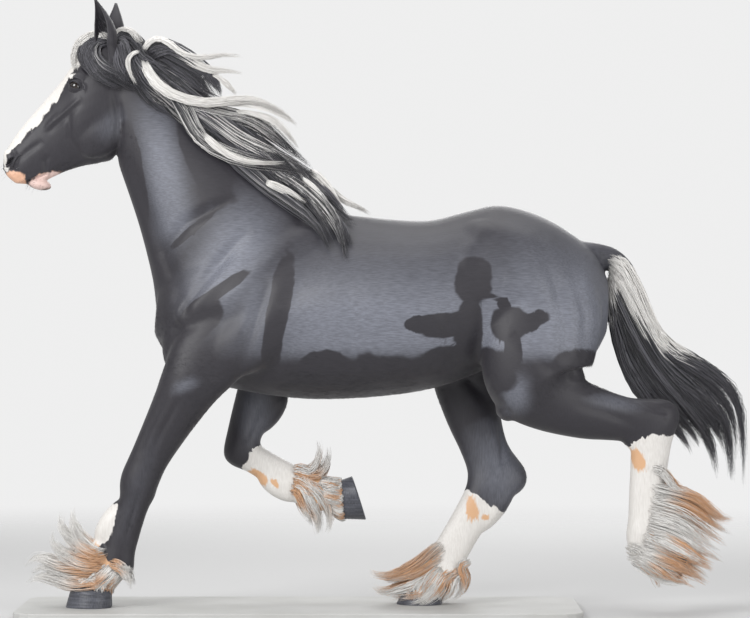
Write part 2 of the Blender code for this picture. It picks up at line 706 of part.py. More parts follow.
def named(parts, collection):
    """Makes an object of each piece, named by the place that it is nearest to."""
    made = {}
    for name, place in expected_places().items():
        def distance(part):
            total = Vector((0, 0, 0))
            for vert in part.verts:
                total += vert.co
            return (total / len(part.verts) - place).length
        nearest = min(parts, key=distance)
        parts.remove(nearest)
        made[name] = new_object(name, nearest, collection)
    for part in parts:
        part.free()
    return made


def tree_of(obj):
    """A tree for rays and nearest points on an object."""
    return BVHTree.FromPolygons([v.co for v in obj.data.vertices], [p.vertices for p in obj.data.polygons])


def swollen(obj, distance=SWELL):
    """A copy of an object's mesh with every face moved out a little."""
    bm = bmesh.new()
    bm.from_mesh(obj.data)
    bm.normal_update()
    for vert in bm.verts:
        vert.co += vert.normal * distance * vert.calc_shell_factor()
    return bm


def ear(side, tip, collection):
    """A cup-shaped ear, open forward and outward, as a crescent drawn out along its length."""
    base = Vector((EAR_BASE.x, side * EAR_BASE.y, EAR_BASE.z))
    tip = Vector((tip[0], side * tip[1], tip[2]))
    axis = (tip - base).normalized()
    opening = Vector((-0.75, side * 0.66, 0.0))
    opening = (opening - axis * opening.dot(axis)).normalized()
    across = axis.cross(opening)
    bm = bmesh.new()
    rings = []
    for share, width, turn in EAR_PROFILE:
        middle = base.lerp(tip, share) - opening * EAR_CURVE * math.sin(math.pi * share)
        radius = EAR_HALF_WIDTH * width
        ring = []
        for radial, way in ((radius, 1), (max(radius - EAR_WALL, radius * 0.35), -1)):
            for i in range(EAR_ARC + 1):
                angle = way * math.radians(turn) * (2 * i / EAR_ARC - 1)
                spot = middle + (across * math.sin(angle) - opening * math.cos(angle)) * radial
                ring.append(bm.verts.new(spot))
        rings.append(ring)
    for first, second in zip(rings, rings[1:]):
        for i in range(len(first)):
            j = (i + 1) % len(first)
            bm.faces.new((first[i], first[j], second[j], second[i]))
    for ring in (rings[0], rings[-1]):
        for i in range(EAR_ARC):
            bm.faces.new((ring[i], ring[i + 1], ring[-2 - i], ring[-1 - i]))
    bmesh.ops.recalc_face_normals(bm, faces=bm.faces)
    return new_object("ear_left" if side == NEAR else "ear_right", bm, collection)


def ball(centre, radius, segments=12):
    """A closed bmesh of a sphere whose poles point sideways."""
    bm = bmesh.new()
    bmesh.ops.create_uvsphere(bm, u_segments=segments, v_segments=segments // 2, radius=radius)
    turn = Matrix.Rotation(math.pi / 2, 4, "X")
    bmesh.ops.transform(bm, matrix=Matrix.Translation(centre) @ turn, verts=bm.verts)
    return bm


def almond(centre, side):
    """The opening between the eyelids: a pointed oval that runs outward from the eye's middle."""
    bm = bmesh.new()
    rings = []
    for out, size in ((0.004, 1.0), (0.05, 1.15)):
        ring = []
        for i in range(LID_SIDES):
            angle = 2 * math.pi * i / LID_SIDES
            along = math.cos(angle) * LID_HALF_LENGTH * size
            up = math.sin(angle) * abs(math.sin(angle)) ** 0.35 * LID_HALF_HEIGHT * size
            tilted = Vector((along * math.cos(LID_TILT) + up * math.sin(LID_TILT), 0.0,
                             up * math.cos(LID_TILT) - along * math.sin(LID_TILT)))
            ring.append(bm.verts.new(centre + tilted + Vector((0.0, side * out, 0.0))))
        rings.append(ring)
    for i in range(LID_SIDES):
        j = (i + 1) % LID_SIDES
        bm.faces.new((rings[0][i], rings[0][j], rings[1][j], rings[1][i]))
    bm.faces.new(reversed(rings[0]))
    bm.faces.new(rings[1])
    bmesh.ops.recalc_face_normals(bm, faces=bm.faces)
    return bm


def face_details(head, cutters, collection):
    """Adds the eyelids, the sockets, the nostrils and the line of the mouth, and makes the eyes."""
    for side in (NEAR, OFF):
        centre = Vector((EYE_CENTRE.x, side * EYE_CENTRE.y, EYE_CENTRE.z))
        boolean(head, "UNION", new_object("lids", ball(centre, EYE_RADIUS + LID, 10), cutters))
        boolean(head, "DIFFERENCE", new_object("aperture", almond(centre, side), cutters))
        boolean(head, "DIFFERENCE", new_object("socket", ball(centre, EYE_RADIUS + GAP), cutters))
        name = "eye_left" if side == NEAR else "eye_right"
        new_object(name, ball(centre, EYE_RADIUS), collection)
        ends = [Vector((p[0], side * p[1], p[2])) for p in NOSTRIL]
        boolean(head, "DIFFERENCE", new_object("nostril", ellipsoid(*ends, 0.011, 0.022, 8), cutters))
        low, high = sorted((side * LIP_DEPTH, side * 0.2))
        lips = slab(*MOUTH_LINE, low, high, thickness=LIP_GAP)
        boolean(head, "DIFFERENCE", new_object("lips", lips, cutters))
    keep_largest(head)


def bezier(points, t):
    """A point of the cubic curve over four control points."""
    a, b, c, d = points
    u = 1 - t
    return a * u**3 + b * 3 * u**2 * t + c * 3 * u * t**2 + d * t**3


def blend(rows, share):
    """The row that lies a share of the way through a list of rows of points."""
    place = min(max(share, 0.0), 0.9999) * (len(rows) - 1)
    i = int(place)
    return [Vector(p).lerp(Vector(q), place - i) for p, q in zip(rows[i], rows[i + 1])]


def lock(points, normals, width, thickness):
    """A flat tapered lock along a line: a closed strip with a low ridge, narrow at its root."""
    bm = bmesh.new()
    rings = []
    last = len(points) - 1
    for i, spot in enumerate(points):
        along = (points[min(i + 1, last)] - points[max(i - 1, 0)]).normalized()
        side = along.cross(normals[i]).normalized() * width / 2
        up = side.cross(along).normalized() * thickness
        share = i / last
        wide = ROOT_WIDTH if i == 0 else 1.0 - 0.93 * max(0.0, (share - 0.3) / 0.7) ** 2
        thick = 1 - 0.72 * share
        ring = (spot - side * wide, spot + side * wide, spot + up * thick)
        rings.append([bm.verts.new(corner) for corner in ring])
    for first, second in zip(rings, rings[1:]):
        for i in range(3):
            j = (i + 1) % 3
            bm.faces.new((first[i], first[j], second[j], second[i]))
    bm.faces.new(reversed(rings[0]))
    bm.faces.new(rings[-1])
    bmesh.ops.recalc_face_normals(bm, faces=bm.faces)
    return bm


def outside(tree, x, z, side):
    """How far out the flesh is at a place seen from the side, or None beside it."""
    hit = tree.ray_cast(Vector((x, side * 2.0, z)), Vector((0, -side, 0)))[0]
    return abs(hit.y) if hit else None


def mane_locks(tree, rng):
    """The locks of the mane, in layers: the lowest lies on the neck and the highest is blown free."""
    made = []
    plan = [(NEAR, (i / (MANE_NEAR - 1)) ** 1.15) for i in range(MANE_NEAR)]
    plan += [(OFF, i / (MANE_OFF - 1)) for i in range(MANE_OFF)]
    for i, (side, share) in enumerate(plan):
        layer = (i + 2) % len(MANE_LAYERS) if side == NEAR else 0
        drop = MANE_LAYERS[layer] + rng.uniform(-0.08, 0.08)
        lift, fall = blend(MANE_LIFTED, share), blend(MANE_FALLING, share)
        guide = [a.lerp(b, drop) for a, b in zip(lift, fall)]
        reach = rng.uniform(0.94, 1.08) if side == NEAR else rng.uniform(0.55, 0.75)
        curl = rng.uniform(-1, 1) * 0.016
        flat, outs = [], []
        for k in range(LOCK_RINGS):
            t = reach * (k / (LOCK_RINGS - 1)) ** 1.2
            spot = bezier(guide, t)
            spot.y += curl * math.sin(2.6 * math.pi * t)
            flat.append(spot)
            outs.append(outside(tree, spot.x, spot.y, side) or 0.0)
        points, normals = [], []
        for k, spot in enumerate(flat):
            along = k / (LOCK_RINGS - 1)
            near_by = outs[max(k - 1, 0)], outs[min(k + 1, LOCK_RINGS - 1)]
            out = max(outs[k], sum(near_by) / 2) + MANE_LAY + LAYER_STEP * layer * min(1.0, 3 * along)
            out += MANE_LOOSE * max(0.0, 0.5 - drop) * along
            if k == 0:
                spot = spot + Vector((0.012, -0.030))
                out = 0.010 * (layer - 1)
            points.append(Vector((spot.x, side * out, spot.y)))
            normals.append(Vector((0.0, side, 0.3 * (1 - drop) + 0.35 * (1 - along))).normalized())
        made.append(lock(points, normals, rng.uniform(0.052, 0.068) * (1 + 0.15 * layer), 0.017))
    return made


def forelock_locks(tree, rng):
    """Locks from between the ears: over the forehead, and swept back past the cheek."""
    made = []
    for i in range(FORELOCK):
        share = i / (FORELOCK - 1)
        side = NEAR if i % 3 else OFF
        guide = blend(FORELOCK_GUIDES, share)
        outs, flat = [], []
        reach = rng.uniform(0.8, 1.0)
        for k in range(LOCK_RINGS):
            spot = bezier(guide, reach * k / (LOCK_RINGS - 1))
            flat.append(spot)
            out = outside(tree, spot.x, spot.y, side)
            outs.append(0.0 if out is None else out)
        points, normals = [], []
        for k, spot in enumerate(flat):
            along = k / (LOCK_RINGS - 1)
            out = outs[k] + 0.010 + 0.008 * along
            if k == 0:
                spot = spot + Vector((0.012, -0.035))
                out = 0.01
            points.append(Vector((spot.x, side * out, spot.y)))
            normals.append(Vector((-0.35 * (1 - along), side, 0.6 * (1 - along))).normalized())
        made.append(lock(points, normals, rng.uniform(0.036, 0.050), 0.013))
    return made


def tail_locks(rng):
    """The tail's locks, from all along the dock: each keeps its own place across the bundle."""
    made = []
    for row in range(TAIL_ROWS):
        for column in range(TAIL_COLUMNS):
            mix = (row + 0.5 * (column % 2)) / (TAIL_ROWS - 0.5)
            out = 2 * (column + 0.5 * (row % 2)) / (TAIL_COLUMNS - 0.5) - 1 + rng.uniform(-0.15, 0.15)
            guide = blend(TAIL_GUIDES, mix)
            reach = rng.uniform(0.88, 1.0) - 0.05 * abs(out)
            root = blend([[p] for p in DOCK_LINE], mix)[0]
            wave = rng.uniform(-1, 1) * 0.012
            points, normals = [], []
            for k in range(TAIL_RINGS):
                along = k / (TAIL_RINGS - 1)
                t = TAIL_START + (reach - TAIL_START) * along**0.9
                spot = along_curve(guide, t) if k else root
                spot.y += wave * math.sin(3 * math.pi * along)
                spread = 0.016 + TAIL_SPREAD * math.sin(math.pi * min(1.0, 0.12 + 0.75 * t))
                y = spread * out + TAIL_SHIFT * min(1.0, 2 * along)
                points.append(Vector((spot.x, y, spot.y)))
                normals.append(Vector((0.2 - 0.4 * mix, out or 0.3, 0.6 - 1.2 * mix)).normalized())
            made.append(lock(points, normals, rng.uniform(0.050, 0.066), 0.016))
    return made


def along_curve(points, t):
    """A point of a smooth curve through all the points, t from 0 to 1."""
    place = min(max(t, 0.0), 0.9999) * (len(points) - 1)
    i = int(place)
    around = [points[max(i - 1, 0)], points[i], points[i + 1], points[min(i + 2, len(points) - 1)]]
    return catmull(*around, place - i)


def tail_core():
    """The thick of the tail, from the dock to less than half way down."""
    middle, outer, inner = TAIL_GUIDES[1], TAIL_GUIDES[0], TAIL_GUIDES[2]
    sections = []
    for t, size in ((0.10, 0.3), (0.17, 0.6), (0.26, 0.66), (0.36, 0.56), (0.44, 0.30)):
        centre, high, low = (along_curve([Vector(p) for p in g], t) for g in (middle, outer, inner))
        sections.append(Section(centre.lerp(high, size), centre.lerp(low, size), 0.055 * size / 0.6))
    return loft(sections, sides=8, steps=1)


def fan_guide(guides, share):
    """The root's place and the tip of a lock a share of the way through a fan."""
    at = share * (len(guides) - 1)
    i = min(int(at), len(guides) - 2)
    (first, start), (second, end) = guides[i], guides[i + 1]
    return first + (second - first) * (at - i), Vector(start).lerp(Vector(end), at - i)


def feather_locks(name, rng):
    """The long hair of a lower leg: fans blown one way, and a fringe round the coronet."""
    pose = POSES[name]
    bones, slices = bones_of(name)
    joints = joints_of(pose, bones)
    cannon = len(bones) - 2
    made = []
    for fan in FANS[name]:
        for i in range(fan.count):
            share = (i + 0.5) / fan.count
            place, tip = fan_guide(fan.guides, share)
            bone = cannon if place < 1 else cannon + 1
            part = min(place - (bone - cannon), 1.0)
            middle = joints[bone].lerp(joints[bone + 1], part)
            y = pose.spread[bone] + (pose.spread[bone + 1] - pose.spread[bone]) * part
            centre = Vector((middle.x, pose.side * y, middle.y))
            blow = Vector((tip.x, centre.y, tip.y)) - centre
            length = blow.length * rng.uniform(0.84, 1.04)
            blow.normalize()
            round_leg = math.radians(FAN_TURNS[i % len(FAN_TURNS)] * fan.wrap)
            radial = Vector((blow.x * math.cos(round_leg), math.sin(round_leg), blow.z * math.cos(round_leg)))
            bend = Vector((blow.z, 0.0, -blow.x)) * fan.bend * rng.uniform(0.4, 1.3)
            run = swing_direction(pose.swings[bone])
            up = Vector((-run.x, 0.0, -run.y))
            facing = math.copysign(1.0, math.sin(round_leg) + 0.01 * (i % 2 - 0.5))
            flat = (Vector((0.0, facing, 0.0)) + radial * 0.45 + up * 0.35).normalized()
            points = []
            for k in range(LOCK_RINGS - 1):
                along = k / (LOCK_RINGS - 2)
                out = FAN_ROOT + (FAN_SURFACE - FAN_ROOT) * min(1, along * 3) + fan.spread * along
                away = length * along**1.25 - FAN_SURFACE * math.cos(round_leg) * along
                spot = centre + radial * out + blow * away + up * FAN_LIE * (1 - along) ** 2
                points.append(spot + bend * (along**2 - along) * length)
            made.append(lock(points, [flat] * len(points), rng.uniform(0.050, 0.066) * fan.width, 0.016))
    return made


def fringe_locks(name, rng):
    """Short broad locks all round the pastern that fall over the top of the hoof."""
    pose = POSES[name]
    top, down, front, _ = hoof_frame(name)
    run = swing_direction(pose.swings[-1])
    made = []
    for i in range(FRINGE):
        angle = 2 * math.pi * (i + rng.uniform(-0.2, 0.2)) / FRINGE
        forward, out = math.cos(angle), math.sin(angle)
        points, normals = [], []
        for high, radius in ((0.070, 0.030), (0.035, 0.072), (0.000, 0.090), (-0.030, 0.098), (-0.055, 0.104)):
            if high > 0:
                middle = top - run * high
            else:
                middle = top - down * high
            spot = middle + front * forward * radius * 1.04
            points.append(Vector((spot.x, pose.side * pose.spread[-1] + out * radius * 0.97, spot.y)))
            normals.append(Vector((front.x * forward, out, front.y * forward)))
        made.append(lock(points, normals, 0.085, 0.014))
    return made


def cut_clear(obj, neighbour, distance=SWELL):
    """Cuts from an object all that lies in a neighbour or comes nearer than a distance to it."""
    both = bpy.data.collections.new("both")
    for size in (0.0, distance):
        new_object("swollen", swollen(neighbour, size), both)
    boolean(obj, "DIFFERENCE", both)
    bpy.data.collections.remove(both)


def fuse(node, locks, neighbours, cutters, core=None):
    """Joins locks to the node they grow from, after cutting them clear of its neighbours."""
    first, *others = locks
    grown = new_object("growth", first, cutters)
    bundle = bpy.data.collections.new("bundle")
    for bm in others + ([core] if core else []):
        new_object("lock", bm, bundle)
    boolean(grown, "UNION", bundle)
    bpy.data.collections.remove(bundle)
    for neighbour in neighbours:
        cut_clear(grown, neighbour)
    boolean(node, "UNION", grown)
    keep_largest(node)


def base(collection):
    """A flat plate with round corners and a small chamfer round its top."""
    bm = bmesh.new()
    bmesh.ops.create_cube(bm, size=1.0)
    bmesh.ops.scale(bm, vec=(BASE_LENGTH, BASE_WIDTH, BASE_THICKNESS), verts=bm.verts)
    bmesh.ops.translate(bm, vec=(0.0, 0.0, BASE_THICKNESS / 2), verts=bm.verts)
    upright = [e for e in bm.edges if abs(e.verts[0].co.z - e.verts[1].co.z) > BASE_THICKNESS / 2]
    bmesh.ops.bevel(bm, geom=upright, offset=BASE_CORNER, segments=4, profile=0.5, affect="EDGES")
    rim = [e for e in bm.edges if min(v.co.z for v in e.verts) > BASE_THICKNESS - 1e-6]
    bmesh.ops.bevel(bm, geom=rim, offset=BASE_CHAMFER, segments=1, profile=0.5, affect="EDGES")
    return new_object("stand_base", bm, collection)


def material(name, colour, roughness):
    """A plain material with its colour as linear values."""
    made = bpy.data.materials.new(name)
    made.use_nodes = True
    shader = made.node_tree.nodes["Principled BSDF"]
    shader.inputs["Base Color"].default_value = (*colour, 1.0)
    shader.inputs["Roughness"].default_value = roughness
    made.diffuse_color = (*colour, 1.0)
    return made


def finish(collection):
    """Gives every node its material, smooth faces where it is round, and no other data."""
    kinds = {
        "hoof": material("hoof", (0.045, 0.045, 0.05), 0.45),
        "eye": material("eye", (0.012, 0.009, 0.008), 0.08),
        "lower": material("stocking", (0.74, 0.71, 0.67), 0.75),
        "stand": material("base", (0.42, 0.42, 0.41), 0.6),
        "coat": material("coat", (0.028, 0.028, 0.033), 0.5),
    }
    for obj in collection.objects:
        kind = obj.name.split("_")[0]
        obj.data.materials.clear()
        obj.data.materials.append(kinds.get(kind, kinds["coat"]))
        for polygon in obj.data.polygons:
            polygon.use_smooth = kind in ("eye",)
            polygon.material_index = 0


def main():
    for obj in list(bpy.data.objects):
        bpy.data.objects.remove(obj)
    scene_root = bpy.context.scene.collection
    horse = bpy.data.collections.new("heavy_horse")
    cutters = bpy.data.collections.new("cutters")
    cutters.hide_render = True
    for collection in (horse, cutters):
        scene_root.children.link(collection)

    body = flesh(horse)
    smoothed(body)
    tree = tree_of(body)
    nodes = named(cut_apart(body, cutters), horse)
    for name in POSES:
        nodes[f"hoof_{name}"] = hoof(name, horse)
    nodes["stand_base"] = base(horse)

    head = nodes["head"]
    face_details(head, cutters, horse)
    ears = [ear(NEAR, EAR_TIPS[0], horse), ear(OFF, EAR_TIPS[1], horse)]
    for one in ears:
        cut_clear(one, head)
        keep_largest(one)

    neck, torso, tail = nodes["neck"], nodes["torso"], nodes["tail"]
    eyes = [horse.objects["eye_left"], horse.objects["eye_right"]]
    fuse(neck, mane_locks(tree, random.Random(SEEDS["mane"])), [torso, head, *ears], cutters)
    fuse(head, forelock_locks(tree, random.Random(SEEDS["forelock"])), [neck, *ears, *eyes], cutters)
    for one in ears:
        cut_clear(one, head, GAP)
        keep_largest(one)
    hocks = [nodes["upper_leg_hind_near"], nodes["lower_leg_hind_near"], torso]
    fuse(tail, tail_locks(random.Random(SEEDS["tail"])), hocks, cutters, tail_core())
    for name in POSES:
        rng = random.Random(SEEDS[name])
        hair = feather_locks(name, rng) + fringe_locks(name, rng)
        near_by = [nodes[f"hoof_{name}"], nodes[f"upper_leg_{name}"], nodes["stand_base"]]
        fuse(nodes[f"lower_leg_{name}"], hair, near_by, cutters)
    finish(horse)
    scene_root.children.unlink(cutters)
    bpy.data.collections.remove(cutters)


main()
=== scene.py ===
"""The looks of the life-size heavy horse: one sculpted skin, hair lock by lock, hooves, eyes and light.

Metres, +Z up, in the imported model's frame: the horse faces -X and its near (left) side is -Y.
"""

import sys

import logging
import math
from dataclasses import dataclass, field
from enum import Enum
from typing import Callable, Iterable, NamedTuple, Optional, Sequence

import bmesh
import bpy
import numpy as np
from mathutils import Matrix, Vector
from mathutils.bvhtree import BVHTree


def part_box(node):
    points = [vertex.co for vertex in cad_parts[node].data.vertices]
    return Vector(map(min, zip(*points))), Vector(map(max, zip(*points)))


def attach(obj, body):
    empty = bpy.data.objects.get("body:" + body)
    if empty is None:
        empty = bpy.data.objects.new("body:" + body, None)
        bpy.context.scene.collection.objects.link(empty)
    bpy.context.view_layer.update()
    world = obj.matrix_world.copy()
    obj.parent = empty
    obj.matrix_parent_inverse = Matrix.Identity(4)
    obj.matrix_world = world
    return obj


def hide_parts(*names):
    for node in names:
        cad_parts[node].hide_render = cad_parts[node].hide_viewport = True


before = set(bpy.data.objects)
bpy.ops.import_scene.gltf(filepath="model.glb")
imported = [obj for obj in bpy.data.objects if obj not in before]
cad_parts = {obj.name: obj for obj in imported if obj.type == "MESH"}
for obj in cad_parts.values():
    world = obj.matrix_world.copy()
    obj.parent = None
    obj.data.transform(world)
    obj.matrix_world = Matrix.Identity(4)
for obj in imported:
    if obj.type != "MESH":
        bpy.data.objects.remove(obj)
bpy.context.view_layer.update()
LOG = logging.getLogger("heavy_horse")

Point2 = tuple[float, float]
Point3 = tuple[float, float, float]
Array = np.ndarray
Rng = np.random.Generator
BMesh = bmesh.types.BMesh
Mesh = bpy.types.Mesh
Object = bpy.types.Object
Material = bpy.types.Material
Socket = bpy.types.NodeSocket
MM = 0.001


class Side(Enum):
    """The two sides of the horse, by the sign of Y."""

    NEAR = -1
    OFF = 1


class Section(NamedTuple):
    """A slice of the body: upper and lower edge as (x, z), half width, narrowing and middle's Y."""

    top: Point2
    bottom: Point2
    half_width: float
    pinch: float = 0.0
    y: float = 0.0


def mirrored(point: Point3, side: Side) -> Vector:
    """A place or a way given as (x, out, z), on one side of the horse."""
    return Vector((point[0], side.value * point[1], point[2]))


class Slice(NamedTuple):
    """A slice of a leg: its bone, how far along, depth before and behind the bone, half width."""

    bone: int
    along: float
    front: float
    back: float
    half_width: float


class Muscle(NamedTuple):
    """A muscle of both sides: two ends as (x, out, z), radius in side view, radius outwards."""

    start: Point3
    end: Point3
    depth: float
    bulge: float


class Mass(NamedTuple):
    """Flesh of one leg: two ends as (x, z), radii in side view and outwards, and its distance out."""

    leg: str
    start: Point2
    end: Point2
    depth: float
    bulge: float
    out: float


class Plume(NamedTuple):
    """Feather locks blown one way: their line as (x, z), breadth, number, and spread across the leg.

    The locks lie between two places across the leg, from -1 on its inner side to 1 on its outer one.
    """

    points: tuple[Point2, ...]
    width: float = 0.045
    copies: int = 7
    spread: Point2 = (0.05, 0.074)
    between: Point2 = (-1.0, 1.0)


# Soft borders of the parts of the body: behind the head as -x, below it as z, above the legs as -z
HEAD_BACK, HEAD_LOW, LEG_TOP = (0.7, 0.78), (1.74, 1.82), (-0.98, -0.88)
# The solids' own sizes, on which every piece is built
BASE_THICKNESS = 0.0255
SOLE_LEVEL = BASE_THICKNESS + 0.00035
HOOF_HEIGHT = 0.076
FORE_BONES = (0.5, 0.344, 0.13)
HIND_BONES = (0.465, 0.58, 0.435, 0.13)

# Slices of the body from one end of each part to the other
TRUNK = (
    Section((-0.6, 1.42), (-0.625, 1.19), 0.1),
    Section((-0.54, 1.5), (-0.56, 1.09), 0.18),
    Section((-0.43, 1.6), (-0.43, 1.0), 0.235),
    Section((-0.26, 1.66), (-0.26, 0.95), 0.275, 0.25),
    Section((-0.04, 1.69), (-0.04, 0.917), 0.3, 0.42),
    Section((0.17, 1.705), (0.17, 0.912), 0.335, 0.4),
    Section((0.39, 1.685), (0.39, 0.928), 0.36, 0.2),
    Section((0.56, 1.68), (0.56, 0.955), 0.352, 0.12),
    Section((0.71, 1.716), (0.71, 1.0), 0.33, 0.1),
    Section((0.86, 1.745), (0.86, 1.06), 0.325, 0.12),
    Section((1.03, 1.7), (1.03, 1.06), 0.315, 0.1),
    Section((1.17, 1.62), (1.16, 1.06), 0.27, 0.08),
    Section((1.265, 1.535), (1.26, 1.1), 0.2),
    Section((1.325, 1.42), (1.318, 1.2), 0.1),
)
NECK = (
    Section((0.24, 1.62), (-0.42, 1.02), 0.2, 0.35),
    Section((0.163, 1.755), (-0.59, 1.2), 0.225, 0.45),
    Section((-0.013, 1.895), (-0.635, 1.43), 0.19, 0.45),
    Section((-0.206, 2.05), (-0.685, 1.63), 0.155, 0.42),
    Section((-0.404, 2.195), (-0.736, 1.79), 0.128, 0.38),
    Section((-0.568, 2.315), (-0.774, 1.905), 0.112, 0.3),
    Section((-0.69, 2.42), (-0.795, 2.0), 0.1, 0.2),
    Section((-0.76, 2.44), (-0.84, 2.05), 0.085, 0.2),
)
HEAD = (
    Section((-0.69, 2.435), (-0.74, 2.06), 0.08, 0.2),
    Section((-0.79, 2.465), (-0.8, 1.95), 0.102, 0.1),
    Section((-0.89, 2.42), (-0.855, 1.928), 0.112, -0.18),
    Section((-0.972, 2.352), (-0.908, 1.918), 0.11, -0.22),
    Section((-1.026, 2.278), (-0.952, 1.908), 0.092, -0.2),
    Section((-1.086, 2.208), (-0.99, 1.896), 0.072, -0.12),
    Section((-1.148, 2.138), (-1.026, 1.882), 0.06),
    Section((-1.208, 2.066), (-1.06, 1.866), 0.056, 0.06),
    Section((-1.252, 2.0), (-1.106, 1.846), 0.058, 0.08),
    Section((-1.276, 1.945), (-1.15, 1.836), 0.056, 0.05),
    Section((-1.274, 1.9), (-1.19, 1.836), 0.042),
)
DOCK = (
    Section((1.2, 1.59), (1.225, 1.49), 0.06),
    Section((1.285, 1.582), (1.275, 1.48), 0.048),
    Section((1.372, 1.552), (1.325, 1.46), 0.042),
    Section((1.44, 1.478), (1.37, 1.41), 0.037),
    Section((1.475, 1.37), (1.415, 1.34), 0.03),
    Section((1.505, 1.27), (1.452, 1.258), 0.022),
)

# Slices of the legs from the shoulder or hip down
FORELEG = (
    Slice(0, -0.55, 0.12, 0.16, 0.05),
    Slice(0, -0.25, 0.165, 0.16, 0.08),
    Slice(0, 0.02, 0.15, 0.118, 0.1),
    Slice(0, 0.25, 0.13, 0.094, 0.092),
    Slice(0, 0.5, 0.114, 0.077, 0.078),
    Slice(0, 0.76, 0.1, 0.066, 0.064),
    Slice(0, 0.95, 0.092, 0.074, 0.069),
    Slice(1, 0.08, 0.082, 0.078, 0.066),
    Slice(1, 0.24, 0.066, 0.066, 0.052),
    Slice(1, 0.5, 0.072, 0.062, 0.048),
    Slice(1, 0.8, 0.08, 0.064, 0.051),
    Slice(1, 1.0, 0.08, 0.078, 0.06),
    Slice(2, 0.5, 0.06, 0.064, 0.058),
    Slice(2, 1.0, 0.07, 0.074, 0.07),
    Slice(2, 1.3, 0.066, 0.066, 0.066),
)
HINDLEG = (
    Slice(0, -0.3, 0.17, 0.15, 0.06),
    Slice(0, 0.05, 0.24, 0.25, 0.13),
    Slice(0, 0.45, 0.235, 0.272, 0.155),
    Slice(0, 0.8, 0.17, 0.288, 0.156),
    Slice(1, 0.05, 0.108, 0.258, 0.14),
    Slice(1, 0.25, 0.122, 0.176, 0.112),
    Slice(1, 0.5, 0.113, 0.13, 0.09),
    Slice(1, 0.75, 0.1, 0.112, 0.07),
    Slice(1, 0.93, 0.1, 0.158, 0.067),
    Slice(2, 0.06, 0.097, 0.152, 0.068),
    Slice(2, 0.22, 0.08, 0.104, 0.057),
    Slice(2, 0.55, 0.074, 0.08, 0.05),
    Slice(2, 0.85, 0.076, 0.08, 0.052),
    Slice(2, 1.0, 0.08, 0.086, 0.061),
    Slice(3, 0.5, 0.078, 0.064, 0.058),
    Slice(3, 1.0, 0.07, 0.074, 0.07),
    Slice(3, 1.3, 0.066, 0.066, 0.066),
)

MUSCLES = (
    Muscle((0.16, 0.13, 1.6), (-0.46, 0.2, 1.28), 0.15, 0.085),
    Muscle((0.02, 0.215, 1.36), (-0.36, 0.215, 1.06), 0.14, 0.085),
    Muscle((-0.42, 0.1, 1.36), (-0.5, 0.11, 1.06), 0.12, 0.1),
    Muscle((0.74, 0.16, 1.6), (1.14, 0.17, 1.42), 0.14, 0.12),
    Muscle((0.68, 0.2, 1.5), (0.66, 0.2, 1.16), 0.1, 0.09),
    Muscle((1.08, 0.15, 1.5), (1.19, 0.15, 1.12), 0.11, 0.1),
)
HEAD_MASSES = (
    Muscle((-0.8, 0.05, 2.13), (-0.915, 0.052, 2.01), 0.11, 0.056),
    Muscle((-0.985, 0.066, 2.292), (-0.89, 0.076, 2.285), 0.022, 0.028),
    Muscle((-0.93, 0.078, 2.225), (-1.09, 0.056, 2.075), 0.013, 0.016),
    Muscle((-0.96, 0.03, 2.29), (-1.175, 0.016, 2.01), 0.034, 0.028),
    Muscle((-1.25, 0.034, 1.968), (-1.215, 0.034, 1.915), 0.036, 0.032),
    Muscle((-1.258, 0.012, 1.9), (-1.195, 0.012, 1.85), 0.026, 0.044),
    Muscle((-1.16, 0.008, 1.842), (-1.08, 0.008, 1.826), 0.024, 0.04),
)
LEG_MASSES = (
    Mass("fore_near", (-0.738, 0.47), (-0.85, 0.32), 0.054, 0.05, 0.11),
    Mass("fore_near", (-0.85, 0.27), (-0.95, 0.185), 0.07, 0.076, 0.11),
    Mass("fore_off", (-0.085, 0.925), (-0.19, 0.78), 0.058, 0.06, 0.165),
    Mass("fore_off", (-0.16, 0.575), (-0.02, 0.49), 0.056, 0.048, 0.13),
    Mass("fore_off", (0.06, 0.535), (0.085, 0.455), 0.07, 0.074, 0.13),
    Mass("hind_near", (1.12, 1.04), (1.19, 1.01), 0.045, 0.09, 0.205),
    Mass("hind_near", (0.85, 0.88), (0.895, 0.84), 0.032, 0.08, 0.2),
    Mass("hind_near", (1.385, 0.775), (1.43, 0.715), 0.034, 0.045, 0.165),
    Mass("hind_near", (1.55, 0.45), (1.63, 0.29), 0.085, 0.08, 0.15),
    Mass("hind_near", (1.415, 0.34), (1.49, 0.215), 0.044, 0.055, 0.15),
    Mass("hind_off", (1.2, 1.28), (0.98, 1.0), 0.13, 0.11, 0.19),
    Mass("hind_off", (0.912, 0.54), (0.775, 0.35), 0.05, 0.048, 0.1),
    Mass("hind_off", (0.57, 0.19), (0.49, 0.125), 0.036, 0.055, 0.07),
    Mass("hind_off", (0.645, 0.215), (0.632, 0.125), 0.05, 0.07, 0.07),
)

# Share of the ear's length, its width there, and half the arc it wraps round in degrees
EAR_PROFILE = (
    (0.0, 0.72, 140),
    (0.18, 0.96, 125),
    (0.36, 1.0, 112),
    (0.55, 0.84, 102),
    (0.74, 0.54, 92),
    (0.9, 0.25, 82),
    (1.0, 0.08, 75),
)

